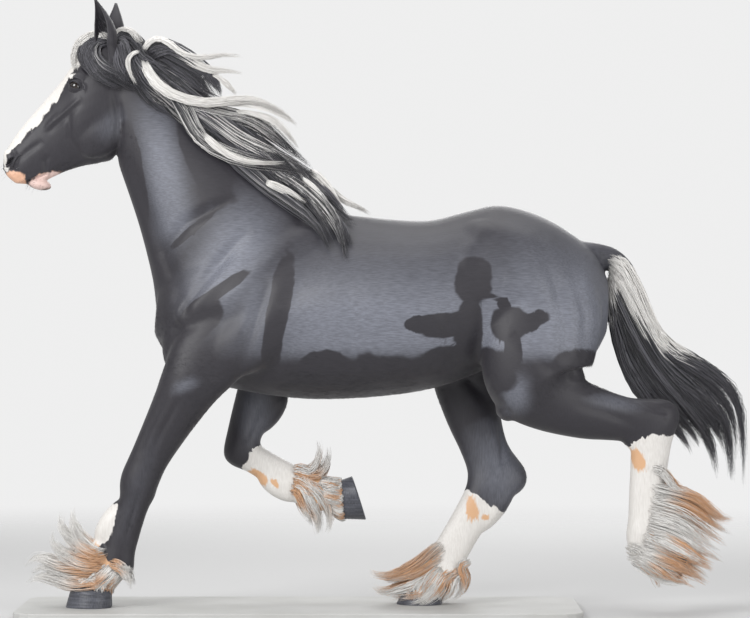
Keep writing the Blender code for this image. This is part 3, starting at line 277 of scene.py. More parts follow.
# Guides of the hair as (x, z): each family runs from the poll to the withers, or down the dock
MANE_LIFTED = (
    ((-0.716, 2.425), (-0.69, 2.425), (-0.545, 2.36), (-0.245, 2.365)),
    ((-0.66, 2.385), (-0.56, 2.375), (-0.39, 2.285), (-0.222, 2.292)),
    ((-0.57, 2.315), (-0.43, 2.29), (-0.225, 2.19), (0.02, 2.062)),
    ((-0.42, 2.21), (-0.288, 2.15), (-0.105, 2.035), (0.05, 1.884)),
    ((-0.225, 2.065), (-0.095, 1.985), (0.056, 1.87), (0.185, 1.722)),
    ((-0.01, 1.89), (0.085, 1.805), (0.185, 1.722), (0.315, 1.688)),
)
MANE_FALLING = (
    ((-0.722, 2.421), (-0.74, 2.275), (-0.645, 2.189), (-0.473, 2.111)),
    ((-0.645, 2.374), (-0.581, 2.167), (-0.43, 2.017), (-0.215, 1.896)),
    ((-0.537, 2.296), (-0.473, 2.081), (-0.258, 1.909), (0.013, 1.707)),
    ((-0.387, 2.189), (-0.28, 1.974), (-0.043, 1.845), (0.133, 1.539)),
    ((-0.194, 2.047), (-0.065, 1.866), (0.138, 1.737), (0.202, 1.484)),
    ((0.021, 1.883), (0.107, 1.78), (0.206, 1.694), (0.232, 1.574)),
)
DOCK_LINE = ((1.398, 1.468), (1.465, 1.33), (1.392, 1.428))
TAIL_GUIDES = (
    ((1.256, 1.551), (1.38, 1.52), (1.466, 1.37), (1.56, 1.17), (1.768, 1.06), (1.905, 0.89),
     (1.915, 0.525)),
    ((1.273, 1.518), (1.359, 1.393), (1.462, 1.2), (1.582, 1.028), (1.72, 0.877), (1.815, 0.727),
     (1.84, 0.51)),
    ((1.3, 1.449), (1.345, 1.26), (1.378, 1.09), (1.44, 0.95), (1.54, 0.835), (1.625, 0.75),
     (1.68, 0.64)),
)
# How far out the widest plumes lie, at the root and at the tip
BROAD = (0.062, 0.112)
PLUMES = {
    "fore_near": (
        Plume(((-0.818, 0.269), (-0.864, 0.267), (-0.912, 0.297), (-0.95, 0.348),
               (-0.972, 0.421), (-0.955, 0.477)), 0.04, 7),
        Plume(((-0.827, 0.247), (-0.873, 0.245), (-0.937, 0.28), (-0.985, 0.323),
               (-1.023, 0.383), (-1.015, 0.439)), 0.044, 7),
        Plume(((-0.84, 0.226), (-0.886, 0.224), (-0.955, 0.241), (-1.015, 0.267),
               (-1.049, 0.305), (-1.049, 0.357)), 0.042, 7),
        Plume(((-0.835, 0.204), (-0.881, 0.202), (-0.946, 0.215), (-0.989, 0.249),
               (-1.015, 0.314)), 0.036, 5),
        Plume(((-0.84, 0.191), (-0.886, 0.189), (-0.963, 0.194), (-1.032, 0.206), (-1.097, 0.236),
               (-1.139, 0.224), (-1.174, 0.189)), 0.046, 8),
        Plume(((-0.84, 0.165), (-0.886, 0.163), (-0.963, 0.163), (-1.032, 0.181),
               (-1.101, 0.198), (-1.157, 0.159)), 0.046, 7),
        Plume(((-0.844, 0.14), (-0.89, 0.138), (-0.972, 0.133), (-1.054, 0.155),
               (-1.127, 0.155), (-1.183, 0.116)), 0.044, 7),
        Plume(((-0.804, 0.23), (-0.774, 0.228), (-0.744, 0.206), (-0.722, 0.189),
               (-0.688, 0.194)), 0.034, 6),
        Plume(((-0.8, 0.2), (-0.77, 0.198), (-0.744, 0.172), (-0.722, 0.142), (-0.705, 0.099)), 0.04, 6),
    ),
    "fore_off": (
        Plume(((-0.034, 0.608), (-0.004, 0.602), (0.039, 0.593), (0.069, 0.628), (0.082, 0.684),
               (0.068, 0.734)), 0.034, 7),
        Plume(((-0.009, 0.587), (0.021, 0.581), (0.073, 0.581), (0.107, 0.615), (0.118, 0.662),
               (0.114, 0.714)), 0.034, 7),
        Plume(((-0.034, 0.578), (-0.004, 0.572), (0.039, 0.542), (0.086, 0.529), (0.133, 0.542)), 0.04, 6),
        Plume(((-0.03, 0.552), (0.0, 0.546), (0.047, 0.516), (0.095, 0.499), (0.133, 0.464)), 0.04, 6),
        Plume(((-0.043, 0.509), (-0.013, 0.503), (0.017, 0.439), (0.039, 0.383), (0.047, 0.33)), 0.036, 6),
        Plume(((-0.039, 0.539), (-0.009, 0.533), (0.034, 0.473), (0.065, 0.413), (0.077, 0.353),
               (0.073, 0.312)), 0.04, 7),
        Plume(((-0.009, 0.552), (0.021, 0.546), (0.077, 0.503), (0.116, 0.439), (0.127, 0.374),
               (0.111, 0.318)), 0.04, 7),
        Plume(((-0.026, 0.526), (0.004, 0.52), (0.047, 0.452), (0.077, 0.391), (0.095, 0.344)), 0.036, 5),
    ),
    "hind_near": (
        Plume(((1.489, 0.618), (1.539, 0.606), (1.582, 0.555), (1.625, 0.529), (1.668, 0.533)), 0.036, 6),
        Plume(((1.489, 0.541), (1.539, 0.529), (1.617, 0.512), (1.69, 0.49), (1.767, 0.43),
               (1.815, 0.406),
               (1.866, 0.407)), 0.048, 8),
        Plume(((1.489, 0.502), (1.539, 0.49), (1.617, 0.469), (1.711, 0.421), (1.789, 0.365),
               (1.845, 0.342)), 0.048, 7),
        Plume(((1.485, 0.459), (1.535, 0.447), (1.625, 0.417), (1.72, 0.361), (1.83, 0.289)), 0.05, 7),
        Plume(((1.481, 0.416), (1.531, 0.404), (1.625, 0.37), (1.72, 0.31),
               (1.806, 0.249)), 0.054, 8, BROAD),
        Plume(((1.472, 0.373), (1.522, 0.361), (1.617, 0.323), (1.711, 0.271),
               (1.813, 0.219)), 0.052, 8, BROAD),
        Plume(((1.459, 0.33), (1.509, 0.318), (1.608, 0.275), (1.698, 0.228),
               (1.776, 0.179)), 0.05, 8, BROAD),
        Plume(((1.442, 0.292), (1.492, 0.28), (1.582, 0.236), (1.677, 0.198),
               (1.754, 0.153)), 0.048, 8, BROAD),
        Plume(((1.425, 0.261), (1.475, 0.249), (1.557, 0.206), (1.643, 0.185),
               (1.742, 0.126)), 0.044, 8, BROAD),
        *(
            Plume(line, 0.05, copies, (0.082, 0.122), between)
            for line in (
                ((1.5, 0.352), (1.55, 0.336), (1.64, 0.282), (1.715, 0.232), (1.79, 0.196)),
                ((1.455, 0.268), (1.505, 0.252), (1.6, 0.212), (1.675, 0.172), (1.745, 0.135)),
                ((1.425, 0.232), (1.475, 0.216), (1.56, 0.168), (1.63, 0.138), (1.69, 0.112)),
            )
            for copies, between in ((5, (0.6, 1.0)), (2, (-1.0, -0.6)))
        ),
        Plume(((1.395, 0.287), (1.445, 0.275), (1.488, 0.219), (1.518, 0.168),
               (1.53, 0.11)), 0.044, 8, BROAD),
        Plume(((1.399, 0.257), (1.449, 0.245), (1.505, 0.202), (1.557, 0.181),
               (1.625, 0.172)), 0.044, 8, BROAD),
    ),
    "hind_off": (
        Plume(((0.612, 0.284), (0.576, 0.262), (0.507, 0.202), (0.434, 0.163), (0.378, 0.148),
               (0.327, 0.155),
               (0.284, 0.172)), 0.044, 8),
        Plume(((0.612, 0.233), (0.576, 0.211), (0.503, 0.163), (0.43, 0.138), (0.374, 0.125),
               (0.331, 0.129)), 0.044, 6),
        Plume(((0.612, 0.19), (0.576, 0.168), (0.494, 0.116), (0.421, 0.09), (0.348, 0.077),
               (0.3, 0.112)), 0.046, 8),
        Plume(((0.612, 0.155), (0.576, 0.133), (0.516, 0.086), (0.447, 0.065), (0.378, 0.052)), 0.044, 6),
        Plume(((0.638, 0.155), (0.602, 0.133), (0.55, 0.073), (0.49, 0.039), (0.443, 0.03)), 0.042, 6),
        Plume(((0.672, 0.164), (0.636, 0.142), (0.602, 0.082), (0.546, 0.039), (0.486, 0.017)), 0.042, 6),
        Plume(((0.702, 0.164), (0.666, 0.142), (0.654, 0.09), (0.619, 0.047), (0.576, 0.021)), 0.04, 6),
        Plume(((0.733, 0.207), (0.697, 0.185), (0.714, 0.125), (0.692, 0.073), (0.645, 0.039)), 0.034, 6),
    ),
}


@dataclass(frozen=True)
class Leg:
    """A leg in the trot: its top joint, each bone's swing forward of straight down, and its slices."""

    name: str
    side: Side
    start: Point2
    swings: tuple[float, ...]
    hoof_swing: float
    spread: tuple[float, ...]
    bones: tuple[float, ...]
    slices: tuple[Slice, ...]

    def run(self, bone: int) -> Vector:
        """The direction of a bone as (x, z)."""
        angle = math.radians(self.swings[bone])
        return Vector((-math.sin(angle), -math.cos(angle)))

    def joints(self) -> list[Vector]:
        """Finds the leg's joints.

        Returns:
            Them from the top one down, as (x, z).
        """
        points = [Vector(self.start)]
        for bone, length in enumerate(self.bones):
            points.append(points[-1] + self.run(bone) * length)
        return points

    def place(self, bone: int, along: float, across: float = 0.0) -> Vector:
        """A place beside a bone.

        Args:
            bone: the bone's number from the top.
            along: the share of its length.
            across: metres in front of the bone's line, or behind it below zero.

        Returns:
            The place in the row's frame, in the middle of the leg's thickness.
        """
        joints, run = self.joints(), self.run(bone)
        spot = joints[bone].lerp(joints[bone + 1], along) + Vector((run.y, -run.x)) * across
        y = self.spread[bone] + (self.spread[bone + 1] - self.spread[bone]) * along
        return Vector((spot.x, self.side.value * y, spot.y))

    def sections(self) -> list[Section]:
        """Stands the slices in the leg.

        Returns:
            Sections, each square to the leg's run, which turns evenly at every joint.
        """
        joints, made = self.joints(), []
        for cut in self.slices:
            run = self.run(cut.bone)
            beside = cut.bone - 1 if cut.along < 0.5 else cut.bone + 1
            other = self.run(min(max(beside, 0), len(self.bones) - 1))
            share = min(abs(cut.along - 0.5), 0.5)
            run = (run * (1 - share) + other * share).normalized()
            front = Vector((run.y, -run.x))
            middle = joints[cut.bone].lerp(joints[cut.bone + 1], cut.along)
            y = self.spread[cut.bone] + (self.spread[cut.bone + 1] - self.spread[cut.bone]) * cut.along
            ends = middle + front * cut.front, middle - front * cut.back
            made.append(Section(*ends, cut.half_width, 0.0, self.side.value * y))
        return made

    def hoof_axes(self) -> tuple[Vector, Vector, Vector, float]:
        """Finds how the hoof stands.

        Returns:
            The middle of its top, its way down and its way forward as (x, z), and its height.
        """
        angle = math.radians(self.hoof_swing)
        down = Vector((-math.sin(angle), -math.cos(angle)))
        top = self.joints()[-1]
        height = top.y - SOLE_LEVEL if self.hoof_swing == 0 else HOOF_HEIGHT
        return top, down, Vector((down.y, -down.x)), height


def catmull(a: float, b: float, c: float, d: float, t: float) -> float:
    """A value of a Catmull-Rom curve between b and c."""
    return 0.5 * (2 * b + (c - a) * t + (2 * a - 5 * b + 4 * c - d) * t**2 + (3 * b - a - 3 * c + d) * t**3)


def refined(sections: Sequence[Section], steps: int) -> list[Section]:
    """Puts sections between others.

    Args:
        sections: the ones that are there.
        steps: how many there are then for each of them.

    Returns:
        The sections on a smooth curve through all the old ones.
    """
    rows = [(*s.top, *s.bottom, s.half_width, s.pinch, s.y) for s in sections]
    rows = [rows[0], *rows, rows[-1]]
    made = []
    for i in range(1, len(rows) - 2):
        for step in range(steps):
            made.append([catmull(*values, step / steps) for values in zip(*rows[i - 1 : i + 3])])
    made.append(list(rows[-1]))
    return [Section((r[0], r[1]), (r[2], r[3]), *r[4:]) for r in made]


def along_curve(points: Sequence[Vector], t: float) -> Vector:
    """Finds a point of a smooth curve through points.

    Args:
        points: what it runs through.
        t: the place on it, from 0 to 1.

    Returns:
        The point.
    """
    place = min(max(t, 0.0), 0.9999) * (len(points) - 1)
    i = int(place)
    around = [points[max(i - 1, 0)], points[i], points[i + 1], points[min(i + 2, len(points) - 1)]]
    return catmull(*around, place - i)


def square_to(points: Sequence[Vector], t: float, step: float) -> Vector:
    """The way square to a smooth curve.

    Args:
        points: the curve's own points, as (x, z).
        t: the place on it, from 0 to 1.
        step: how far before and after it the curve's run is taken.

    Returns:
        The direction as (x, z).
    """
    run = along_curve(points, min(t + step, 1.0)) - along_curve(points, max(t - step, 0.0))
    return Vector((-run.y, run.x)).normalized()


def bezier(points: Sequence[Vector], t: float) -> Vector:
    """Finds a point of a cubic curve.

    Args:
        points: its four control points.
        t: the place on it, from 0 to 1.

    Returns:
        The point.
    """
    a, b, c, d = points
    u = 1 - t
    return a * u**3 + b * 3 * u**2 * t + c * 3 * u * t**2 + d * t**3


def blend(rows: Sequence[Sequence[Point2]], share: float) -> list[Vector]:
    """Finds the row that lies a share of the way through rows of points.

    Args:
        rows: the rows, all of one length.
        share: the share of the way, from 0 to 1.

    Returns:
        The row between the two nearest ones.
    """
    place = min(max(share, 0.0), 0.9999) * (len(rows) - 1)
    i = int(place)
    return [Vector(p).lerp(Vector(q), place - i) for p, q in zip(rows[i], rows[i + 1])]


def new_object(name: str, bm: BMesh) -> Object:
    """Makes an object at the origin.

    Args:
        name: its name.
        bm: its mesh, which is freed.

    Returns:
        The object, in the scene.
    """
    mesh = bpy.data.meshes.new(name)
    bm.to_mesh(mesh)
    bm.free()
    made = bpy.data.objects.new(name, mesh)
    bpy.context.scene.collection.objects.link(made)
    return made


def bridged(bm: BMesh, count: int, sides: int) -> Iterable[tuple[int, list[bmesh.types.BMVert]]]:
    """Makes a closed tube of circles, each of which is placed by the caller before it is bridged.

    Args:
        bm: the bmesh that the tube is made in.
        count: how many circles it has.
        sides: how many corners each circle has.

    Yields:
        Each circle's number and its corners, at radius 1 round the origin.
    """
    before: list[bmesh.types.BMEdge] = []
    for number in range(count):
        ring = bmesh.ops.create_circle(bm, radius=1.0, segments=sides)["verts"]
        edges = list({edge for vert in ring for edge in vert.link_edges})
        yield number, ring
        if before:
            bmesh.ops.bridge_loops(bm, edges=before + edges)
        if number in (0, count - 1):
            bmesh.ops.contextual_create(bm, geom=edges)
        before = edges
    bmesh.ops.recalc_face_normals(bm, faces=bm.faces)


def apply_modifiers(obj: Object) -> None:
    """Replaces a mesh by what its modifiers make of it.

    Args:
        obj: the object that they are on.
    """
    bpy.context.view_layer.update()
    evaluated = obj.evaluated_get(bpy.context.evaluated_depsgraph_get())
    mesh = bpy.data.meshes.new_from_object(evaluated)
    old = obj.data
    obj.modifiers.clear()
    obj.data = mesh
    bpy.data.meshes.remove(old)


def points_of(mesh: Mesh, kind: str = "co") -> Array:
    """Reads a mesh's points.

    Args:
        mesh: the mesh.
        kind: co for their places, or normal.

    Returns:
        Rows of three numbers.
    """
    values = np.empty(len(mesh.vertices) * 3, np.float32)
    if kind == "co":
        mesh.vertices.foreach_get("co", values)
    else:
        mesh.vertex_normals.foreach_get("vector", values)
    return values.reshape(-1, 3).astype(float)


def move_points(mesh: Mesh, normals: Array, by: Array) -> None:
    """Moves a mesh's places.

    Args:
        mesh: the mesh.
        normals: the way that each place moves.
        by: how far it moves, in metres.
    """
    co = points_of(mesh) + normals * by[:, None]
    mesh.vertices.foreach_set("co", co.astype(np.float32).ravel())
    mesh.update()


def along_run(co: Array, start: Array, run: Array, end: float = 1.0) -> tuple[Array, Array]:
    """Where each place lies beside a straight run.

    Args:
        co: the places.
        start: where the run starts.
        run: its way and length.
        end: the share of its length at which it ends.

    Returns:
        The share along the run, and the distance from it.
    """
    t = np.clip(((co - start) @ run) / (run @ run), 0, end)
    return t, np.linalg.norm(co - start - t[:, None] * run, axis=1)


def along_line(co: Array, line: Array) -> tuple[Array, Array, Array]:
    """Where each place lies beside a line of straight runs.

    Args:
        co: the places.
        line: the line's points.

    Returns:
        The share along the line, the distance from it, and the number of the nearest run.
    """
    lengths = np.linalg.norm(line[1:] - line[:-1], axis=1)
    share, best, nearest = np.zeros(len(co)), np.full(len(co), 1e9), np.zeros(len(co), int)
    for i, run in enumerate(line[1:] - line[:-1]):
        t, distance = along_run(co, line[i], run)
        closer = distance < best
        best[closer], nearest[closer] = distance[closer], i
        share[closer] = (lengths[:i].sum() + t[closer] * lengths[i]) / lengths.sum()
    return share, best, nearest


def unit(vectors: Array) -> Array:
    """The vectors at length one."""
    return vectors / np.maximum(np.linalg.norm(vectors, axis=-1, keepdims=True), 1e-9)


def mixed(first: Array, second: Array, share: Array) -> Array:
    """Rows that lie a share of the way from the first ones to the second."""
    return first * (1 - share[:, None]) + second * share[:, None]


def raised(values: Array, times: int) -> Array:
    """Raises each value in a row to the mean of itself and its neighbours.

    Args:
        values: the row.
        times: how many times this is done.

    Returns:
        The new row, nowhere lower than the old one.
    """
    for _ in range(times):
        padded = np.pad(values, 1, mode="edge")
        values = np.maximum(values, (padded[:-2] + padded[1:-1] + padded[2:]) / 3)
    return values


def smoothstep(values: Array | float, low: float, high: float) -> Array:
    """0 below low, 1 above high and a soft step between."""
    t = np.clip((values - low) / (high - low), 0, 1)
    return t * t * (3 - 2 * t)


def set_attribute(mesh: Mesh, name: str, values: Array) -> None:
    """Stores one number for each vertex under a name."""
    mesh.attributes.new(name, "FLOAT", "POINT").data.foreach_set("value", values.astype(np.float32))


def surface_tree(obj: Object) -> BVHTree:
    """A tree for rays and nearest points on an object."""
    return BVHTree.FromPolygons([v.co for v in obj.data.vertices], [p.vertices for p in obj.data.polygons])


@dataclass(frozen=True)
class Stroke:
    """A long groove or ridge worked into the skin, as seen from the side.

    Its points are (x, z); a depth below zero is a groove; a leg's name keeps it to that leg.
    """

    points: tuple[Point2, ...]
    width: float
    depth: float
    leg: Optional[str] = None
    fade: float = 0.6

    def push(self, co: Array, out: Array) -> Array:
        """How far each place moves along its own normal.

        Args:
            co: the places.
            out: how much each faces sideways, 0 to 1.

        Returns:
            The distances in metres.
        """
        pts = np.array(self.points)
        low, high = pts.min(0) - 3 * self.width, pts.max(0) + 3 * self.width
        moved = np.zeros(len(co))
        near = (co[:, 0] > low[0]) & (co[:, 0] < high[0]) & (co[:, 2] > low[1]) & (co[:, 2] < high[1])
        if self.leg:
            near &= co[:, 1] * LEGS[self.leg].side.value > 0
        if near.any():
            place, away, _ = along_line(co[near][:, (0, 2)], pts)
            ends = np.sin(math.pi * np.clip(place, 0, 1)) ** self.fade
            moved[near] = self.depth * np.exp(-((away / self.width) ** 2)) * ends * out[near]
        return moved


@dataclass
class Flesh:
    """The horse's skin: lofts and muscles fused, evened out and then worked with strokes."""

    voxel: float = 0.0052
    sides: int = 32
    cuts: int = 4
    fullness: float = 0.9
    smoothing: dict[str, float] = field(default_factory=lambda: {"trunk": 1.0, "legs": 0.5, "head": 0.16})
    passes: int = 96
    triangles: dict[str, int] = field(
        default_factory=lambda: {"trunk": 36000, "legs": 32000, "head": 40000}
    )

    def loft(self, sections: Sequence[Section]) -> BMesh:
        """Lays a skin over slices.

        Args:
            sections: the slices from one end to the other.

        Returns:
            A closed bmesh with a circle for each slice and a few between, shaped and bridged to the last.
        """
        bm = bmesh.new()
        cuts = refined(sections, self.cuts)
        for number, ring in bridged(bm, len(cuts), self.sides):
            section = cuts[number]
            top, bottom = Vector(section.top), Vector(section.bottom)
            middle, half = (top + bottom) / 2, (top - bottom) / 2
            for vert in ring:
                out, up = vert.co.x, vert.co.y
                width = section.half_width * math.copysign(abs(out) ** self.fullness, out)
                width *= 1 - abs(section.pinch) * max(0.0, math.copysign(up * up, up * section.pinch))
                spot = middle + half * up
                vert.co = (spot.x, section.y + width, spot.y)
        return bm

    def ellipsoid(self, start: Sequence[float], end: Sequence[float], depth: float, bulge: float) -> BMesh:
        """Makes one muscle.

        Args:
            start: one end of its long axis.
            end: the other one.
            depth: its radius in side view.
            bulge: its radius outwards.

        Returns:
            A closed bmesh.
        """
        start, end = Vector(start), Vector(end)
        axis = end - start
        bm = bmesh.new()
        bmesh.ops.create_uvsphere(bm, u_segments=28, v_segments=14, radius=1.0)
        side = Vector((0.0, 1.0, 0.0))
        up = axis.cross(side).normalized()
        side = up.cross(axis).normalized()
        turn = Matrix((up * depth, side * bulge, axis.normalized() * (axis.length + depth) / 2)).transposed()
        bmesh.ops.transform(bm, matrix=Matrix.Translation((start + end) / 2) @ turn.to_4x4(), verts=bm.verts)
        bmesh.ops.recalc_face_normals(bm, faces=bm.faces)
        return bm

    def forms(self) -> Iterable[BMesh]:
        """Makes every form that the skin is fused from.

        Yields:
            One closed bmesh after another.
        """
        for sections in (TRUNK, NECK, HEAD, DOCK):
            yield self.loft(sections)
        for leg in LEGS.values():
            yield self.loft(leg.sections())
        for muscle in MUSCLES + HEAD_MASSES:
            for side in Side:
                ends = mirrored(muscle.start, side), mirrored(muscle.end, side)
                yield self.ellipsoid(*ends, muscle.depth, muscle.bulge)
        for mass in LEG_MASSES:
            y = LEGS[mass.leg].side.value * mass.out
            ends = [(x, y, z) for x, z in (mass.start, mass.end)]
            yield self.ellipsoid(*ends, mass.depth, mass.bulge)

    @staticmethod
    def shares(co: Array) -> dict[str, Array]:
        """Divides the body.

        Args:
            co: places on the skin.

        Returns:
            How much each belongs to the head, the legs and the trunk.
        """
        head = smoothstep(-co[:, 0], *HEAD_BACK) * smoothstep(co[:, 2], *HEAD_LOW)
        legs = smoothstep(-co[:, 2], *LEG_TOP)
        return {"head": head, "legs": legs, "trunk": np.clip(1 - head - legs, 0, 1)}

    def weigh(self, obj: Object, weights: Array) -> str:
        """Writes a weight for each vertex into an object's one vertex group.

        Args:
            obj: the object.
            weights: the weights, 0 to 1.

        Returns:
            The group's name.
        """
        group = obj.vertex_groups[0] if obj.vertex_groups else obj.vertex_groups.new(name="share")
        steps = np.round(weights * 20).astype(int)
        for step in range(21):
            group.add(np.nonzero(steps == step)[0].tolist(), step / 20, "REPLACE")
        return group.name

    def build(self) -> Object:
        """Makes the skin with its strokes.

        Returns:
            The skin, with no eyes, nostrils or ears yet.
        """
        whole = bmesh.new()
        for form in self.forms():
            piece = bpy.data.meshes.new("form")
            form.to_mesh(piece)
            form.free()
            whole.from_mesh(piece)
            bpy.data.meshes.remove(piece)
        skin = new_object("skin", whole)
        remesh = skin.modifiers.new("fuse", "REMESH")
        remesh.mode = "VOXEL"
        remesh.voxel_size = self.voxel
        apply_modifiers(skin)
        shares = self.shares(points_of(skin.data))
        weights = sum(self.smoothing[name] * share for name, share in shares.items())
        smooth = skin.modifiers.new("smooth", "SMOOTH")
        smooth.factor = 0.5
        smooth.iterations = self.passes
        smooth.vertex_group = self.weigh(skin, weights)
        apply_modifiers(skin)
        self.carve(skin.data)
        for name, wanted in self.triangles.items():
            inside = self.shares(points_of(skin.data))[name]
            faces = np.array([p.vertices[0] for p in skin.data.polygons])
            corners = np.array([len(p.vertices) - 2 for p in skin.data.polygons])
            total, here = corners.sum(), corners[inside[faces] > 0.5].sum()
            reduce = skin.modifiers.new("reduce", "DECIMATE")
            reduce.ratio = min(1.0, (total - here + wanted) / total)
            reduce.vertex_group = self.weigh(skin, (inside > 0.5).astype(float))
            apply_modifiers(skin)
        skin.vertex_groups.clear()
        return skin

    def carve(self, mesh: Mesh) -> None:
        """Works every stroke into a mesh along its normals.

        Args:
            mesh: the skin.
        """
        normals = points_of(mesh, "normal")
        out = np.abs(normals[:, 1]) ** 0.7
        move_points(mesh, normals, sum(stroke.push(points_of(mesh), out) for stroke in STROKES))


@dataclass
class Face:
    """The fine forms of the head: lids round each eye, nostrils, lips and ears."""

    eye: Point3 = (-0.955, 0.08, 2.25)
    eye_radius: float = 0.029
    eye_out: Point3 = (-0.3, 0.93, 0.16)
    lid: float = 0.0042
    # The share of the lids' own radius to which they are round, and how far out they fade into the head
    dome: float = 0.86
    dome_fade: float = 0.02
    # How far from the ball's front the lids are worked, and how far behind its middle
    eye_reach: Point2 = (0.06, -0.01)
    slit_half_length: float = 0.0265
    upper_half_height: float = 0.015
    lower_half_height: float = 0.011
    slit_tilt: float = math.radians(24)
    # Folds of each lid: how far they rise, how far from the slit they lie, and their breadth
    upper_folds: tuple[Point3, ...] = ((-0.0026, 0.0105, 0.0028), (0.004, 0.02, 0.007))
    lower_folds: tuple[Point3, ...] = ((-0.0016, 0.009, 0.003),)
    # From where to where beside the slit the lid's edge turns in to the ball, and how deep it goes
    lid_edge: Point2 = (-0.0004, 0.0016)
    lid_depth: float = 0.006
    nostril: Point3 = (-1.24, 0.057, 1.93)
    nostril_half: Point2 = (0.026, 0.0115)
    nostril_axis: Point3 = (0.45, 0.0, 0.9)
    nostril_depth: float = 0.02
    wing_height: float = 0.0042
    ear_base: Point3 = (-0.822, 0.058, 2.4)
    ear_tips: tuple[Point3, Point3] = ((-0.875, 0.09, 2.619), (-0.8, 0.09, 2.619))
    ear_half_width: float = 0.048
    ear_wall: float = 0.0042
    ear_bow: float = 0.008
    ear_out: Point3 = (-0.75, 0.66, 0.0)
    mouth: Point3 = (-1.19, 0.0, 1.86)
    # How far round the mouth, the nostrils and, twice, the eyes the mesh is made finer
    fine_mouth: float = 0.135
    fine_nostril: float = 0.04
    fine_eye: Point2 = (0.075, 0.052)

    @staticmethod
    def refine(bm: BMesh, middle: Vector, radius: float) -> None:
        """Halves the edges within a radius of a place."""
        edges = [e for e in bm.edges if all((v.co - middle).length < radius for v in e.verts)]
        bmesh.ops.subdivide_edges(bm, edges=edges, cuts=1, use_grid_fill=True)

    def eye_axes(self, side: Side) -> tuple[Vector, Vector, Vector, Vector]:
        """Finds how an eye stands.

        Args:
            side: which eye it is.

        Returns:
            Its centre, its way out of the head, its way along the slit to the front, and its way up.
        """
        centre, out = mirrored(self.eye, side), mirrored(self.eye_out, side).normalized()
        front = Vector((-math.cos(self.slit_tilt), 0.0, math.sin(self.slit_tilt)))
        front = (front - out * front.dot(out)).normalized()
        up = front.cross(out) * side.value
        return centre, out, front, up if up.z > 0 else -up

    def open_eye(self, bm: BMesh, side: Side) -> None:
        """Raises the lids over one eye and opens the slit between them.

        Args:
            bm: the skin.
            side: which eye it is.
        """
        centre, out, front, up = self.eye_axes(side)
        surface = centre + out * self.eye_radius
        for radius in self.fine_eye:
            self.refine(bm, surface, radius)
        bm.normal_update()
        for vert in bm.verts:
            away = vert.co - centre
            high, along, rise = away.dot(out), away.dot(front), away.dot(up)
            if (vert.co - surface).length > self.eye_reach[0] or high < self.eye_reach[1]:
                continue
            flat = math.hypot(along, rise)
            half = self.upper_half_height if rise > 0 else self.lower_half_height
            share = min(abs(along) / self.slit_half_length, 1.0)
            margin = half * (1 - share * share)
            slope = 2 * half * share / self.slit_half_length
            rim = (abs(rise) - margin) / math.sqrt(1 + slope * slope)
            if abs(along) > self.slit_half_length:
                rim = math.hypot(abs(along) - self.slit_half_length, rise)
            cover = self.eye_radius + self.lid
            lid = max(math.sqrt(max(cover**2 - flat**2, 0.0)), high) if flat < cover else high
            beyond = abs(flat - cover * self.dome) / self.dome_fade
            edge = 1.0 if flat < cover * self.dome else max(0.0, 1 - beyond)
            height = high + (lid - high) * edge
            for up_by, off, breadth in self.upper_folds if rise > 0 else self.lower_folds:
                height += up_by * math.exp(-(((rim - off) / breadth) ** 2))
            inner = math.sqrt(max(self.eye_radius**2 - flat**2, 0.0)) - self.lid_depth
            vert.co += out * (inner + (height - inner) * float(smoothstep(rim, *self.lid_edge)) - high)

    def open_nostril(self, bm: BMesh, side: Side) -> None:
        """Sinks one nostril, a comma that is wide below, and raises its wing.

        Args:
            bm: the skin.
            side: which one it is.
        """
        middle = mirrored(self.nostril, side)
        self.refine(bm, middle, self.fine_nostril)
        bm.normal_update()
        long, short = self.nostril_half
        axis = Vector(self.nostril_axis).normalized()
        for vert in bm.verts:
            away = vert.co - middle
            if away.length > 0.06 or vert.normal.y * side.value < 0.1:
                continue
            along = away.dot(axis)
            across = away.x * axis.z - away.z * axis.x - 0.3 * along * abs(along) / long
            wide = short * (1.25 - 0.6 * (along / long + 1) / 2)
            size = math.hypot(along / long, across / wide)
            pit = 1 - float(smoothstep(size, 0.55, 1.1))
            wing = math.exp(-(((size - 1.55) / 0.42) ** 2)) * (0.55 + 0.45 * math.copysign(1, across))
            vert.co -= vert.normal * (self.nostril_depth * pit - self.wing_height * wing)

    def ear_axes(self, side: Side) -> tuple[Vector, Vector, Vector, Vector, Vector]:
        """Where an ear stands.

        Args:
            side: which ear it is.

        Returns:
            Its base, its tip, its way along, its way out of the cup, and its way across.
        """
        base = mirrored(self.ear_base, side)
        tip = mirrored(self.ear_tips[0 if side is Side.NEAR else 1], side)
        axis, facing = (tip - base).normalized(), mirrored(self.ear_out, side)
        facing = (facing - axis * facing.dot(axis)).normalized()
        return base, tip, axis, facing, axis.cross(facing)

    def ear(self, side: Side) -> Object:
        """Makes one ear, from a grid rolled round its own axis.

        Args:
            side: which ear it is.

        Returns:
            A cup of even thickness.
        """
        base, tip, _, facing, across = self.ear_axes(side)
        bm = bmesh.new()
        bmesh.ops.create_grid(bm, x_segments=20, y_segments=26, size=1.0)
        for vert in bm.verts:
            share = (vert.co.y + 1) / 2 * 1.32 - 0.32
            width = np.interp(share, *zip(*((s, w) for s, w, _ in EAR_PROFILE)))
            turn = math.radians(np.interp(share, *zip(*((s, t) for s, _, t in EAR_PROFILE))))
            radius = self.ear_half_width * width * (1 + 0.25 * min(1.0, max(0.0, 0.1 - share) / 0.1))
            middle = base.lerp(tip, share) - facing * self.ear_bow * math.sin(math.pi * share)
            angle = vert.co.x * turn
            vert.co = middle + (across * math.sin(angle) - facing * math.cos(angle)) * radius
        bmesh.ops.recalc_face_normals(bm, faces=bm.faces)
        bmesh.ops.solidify(bm, geom=bm.faces[:], thickness=self.ear_wall)
        bmesh.ops.recalc_face_normals(bm, faces=bm.faces)
        return new_object("ear", bm)

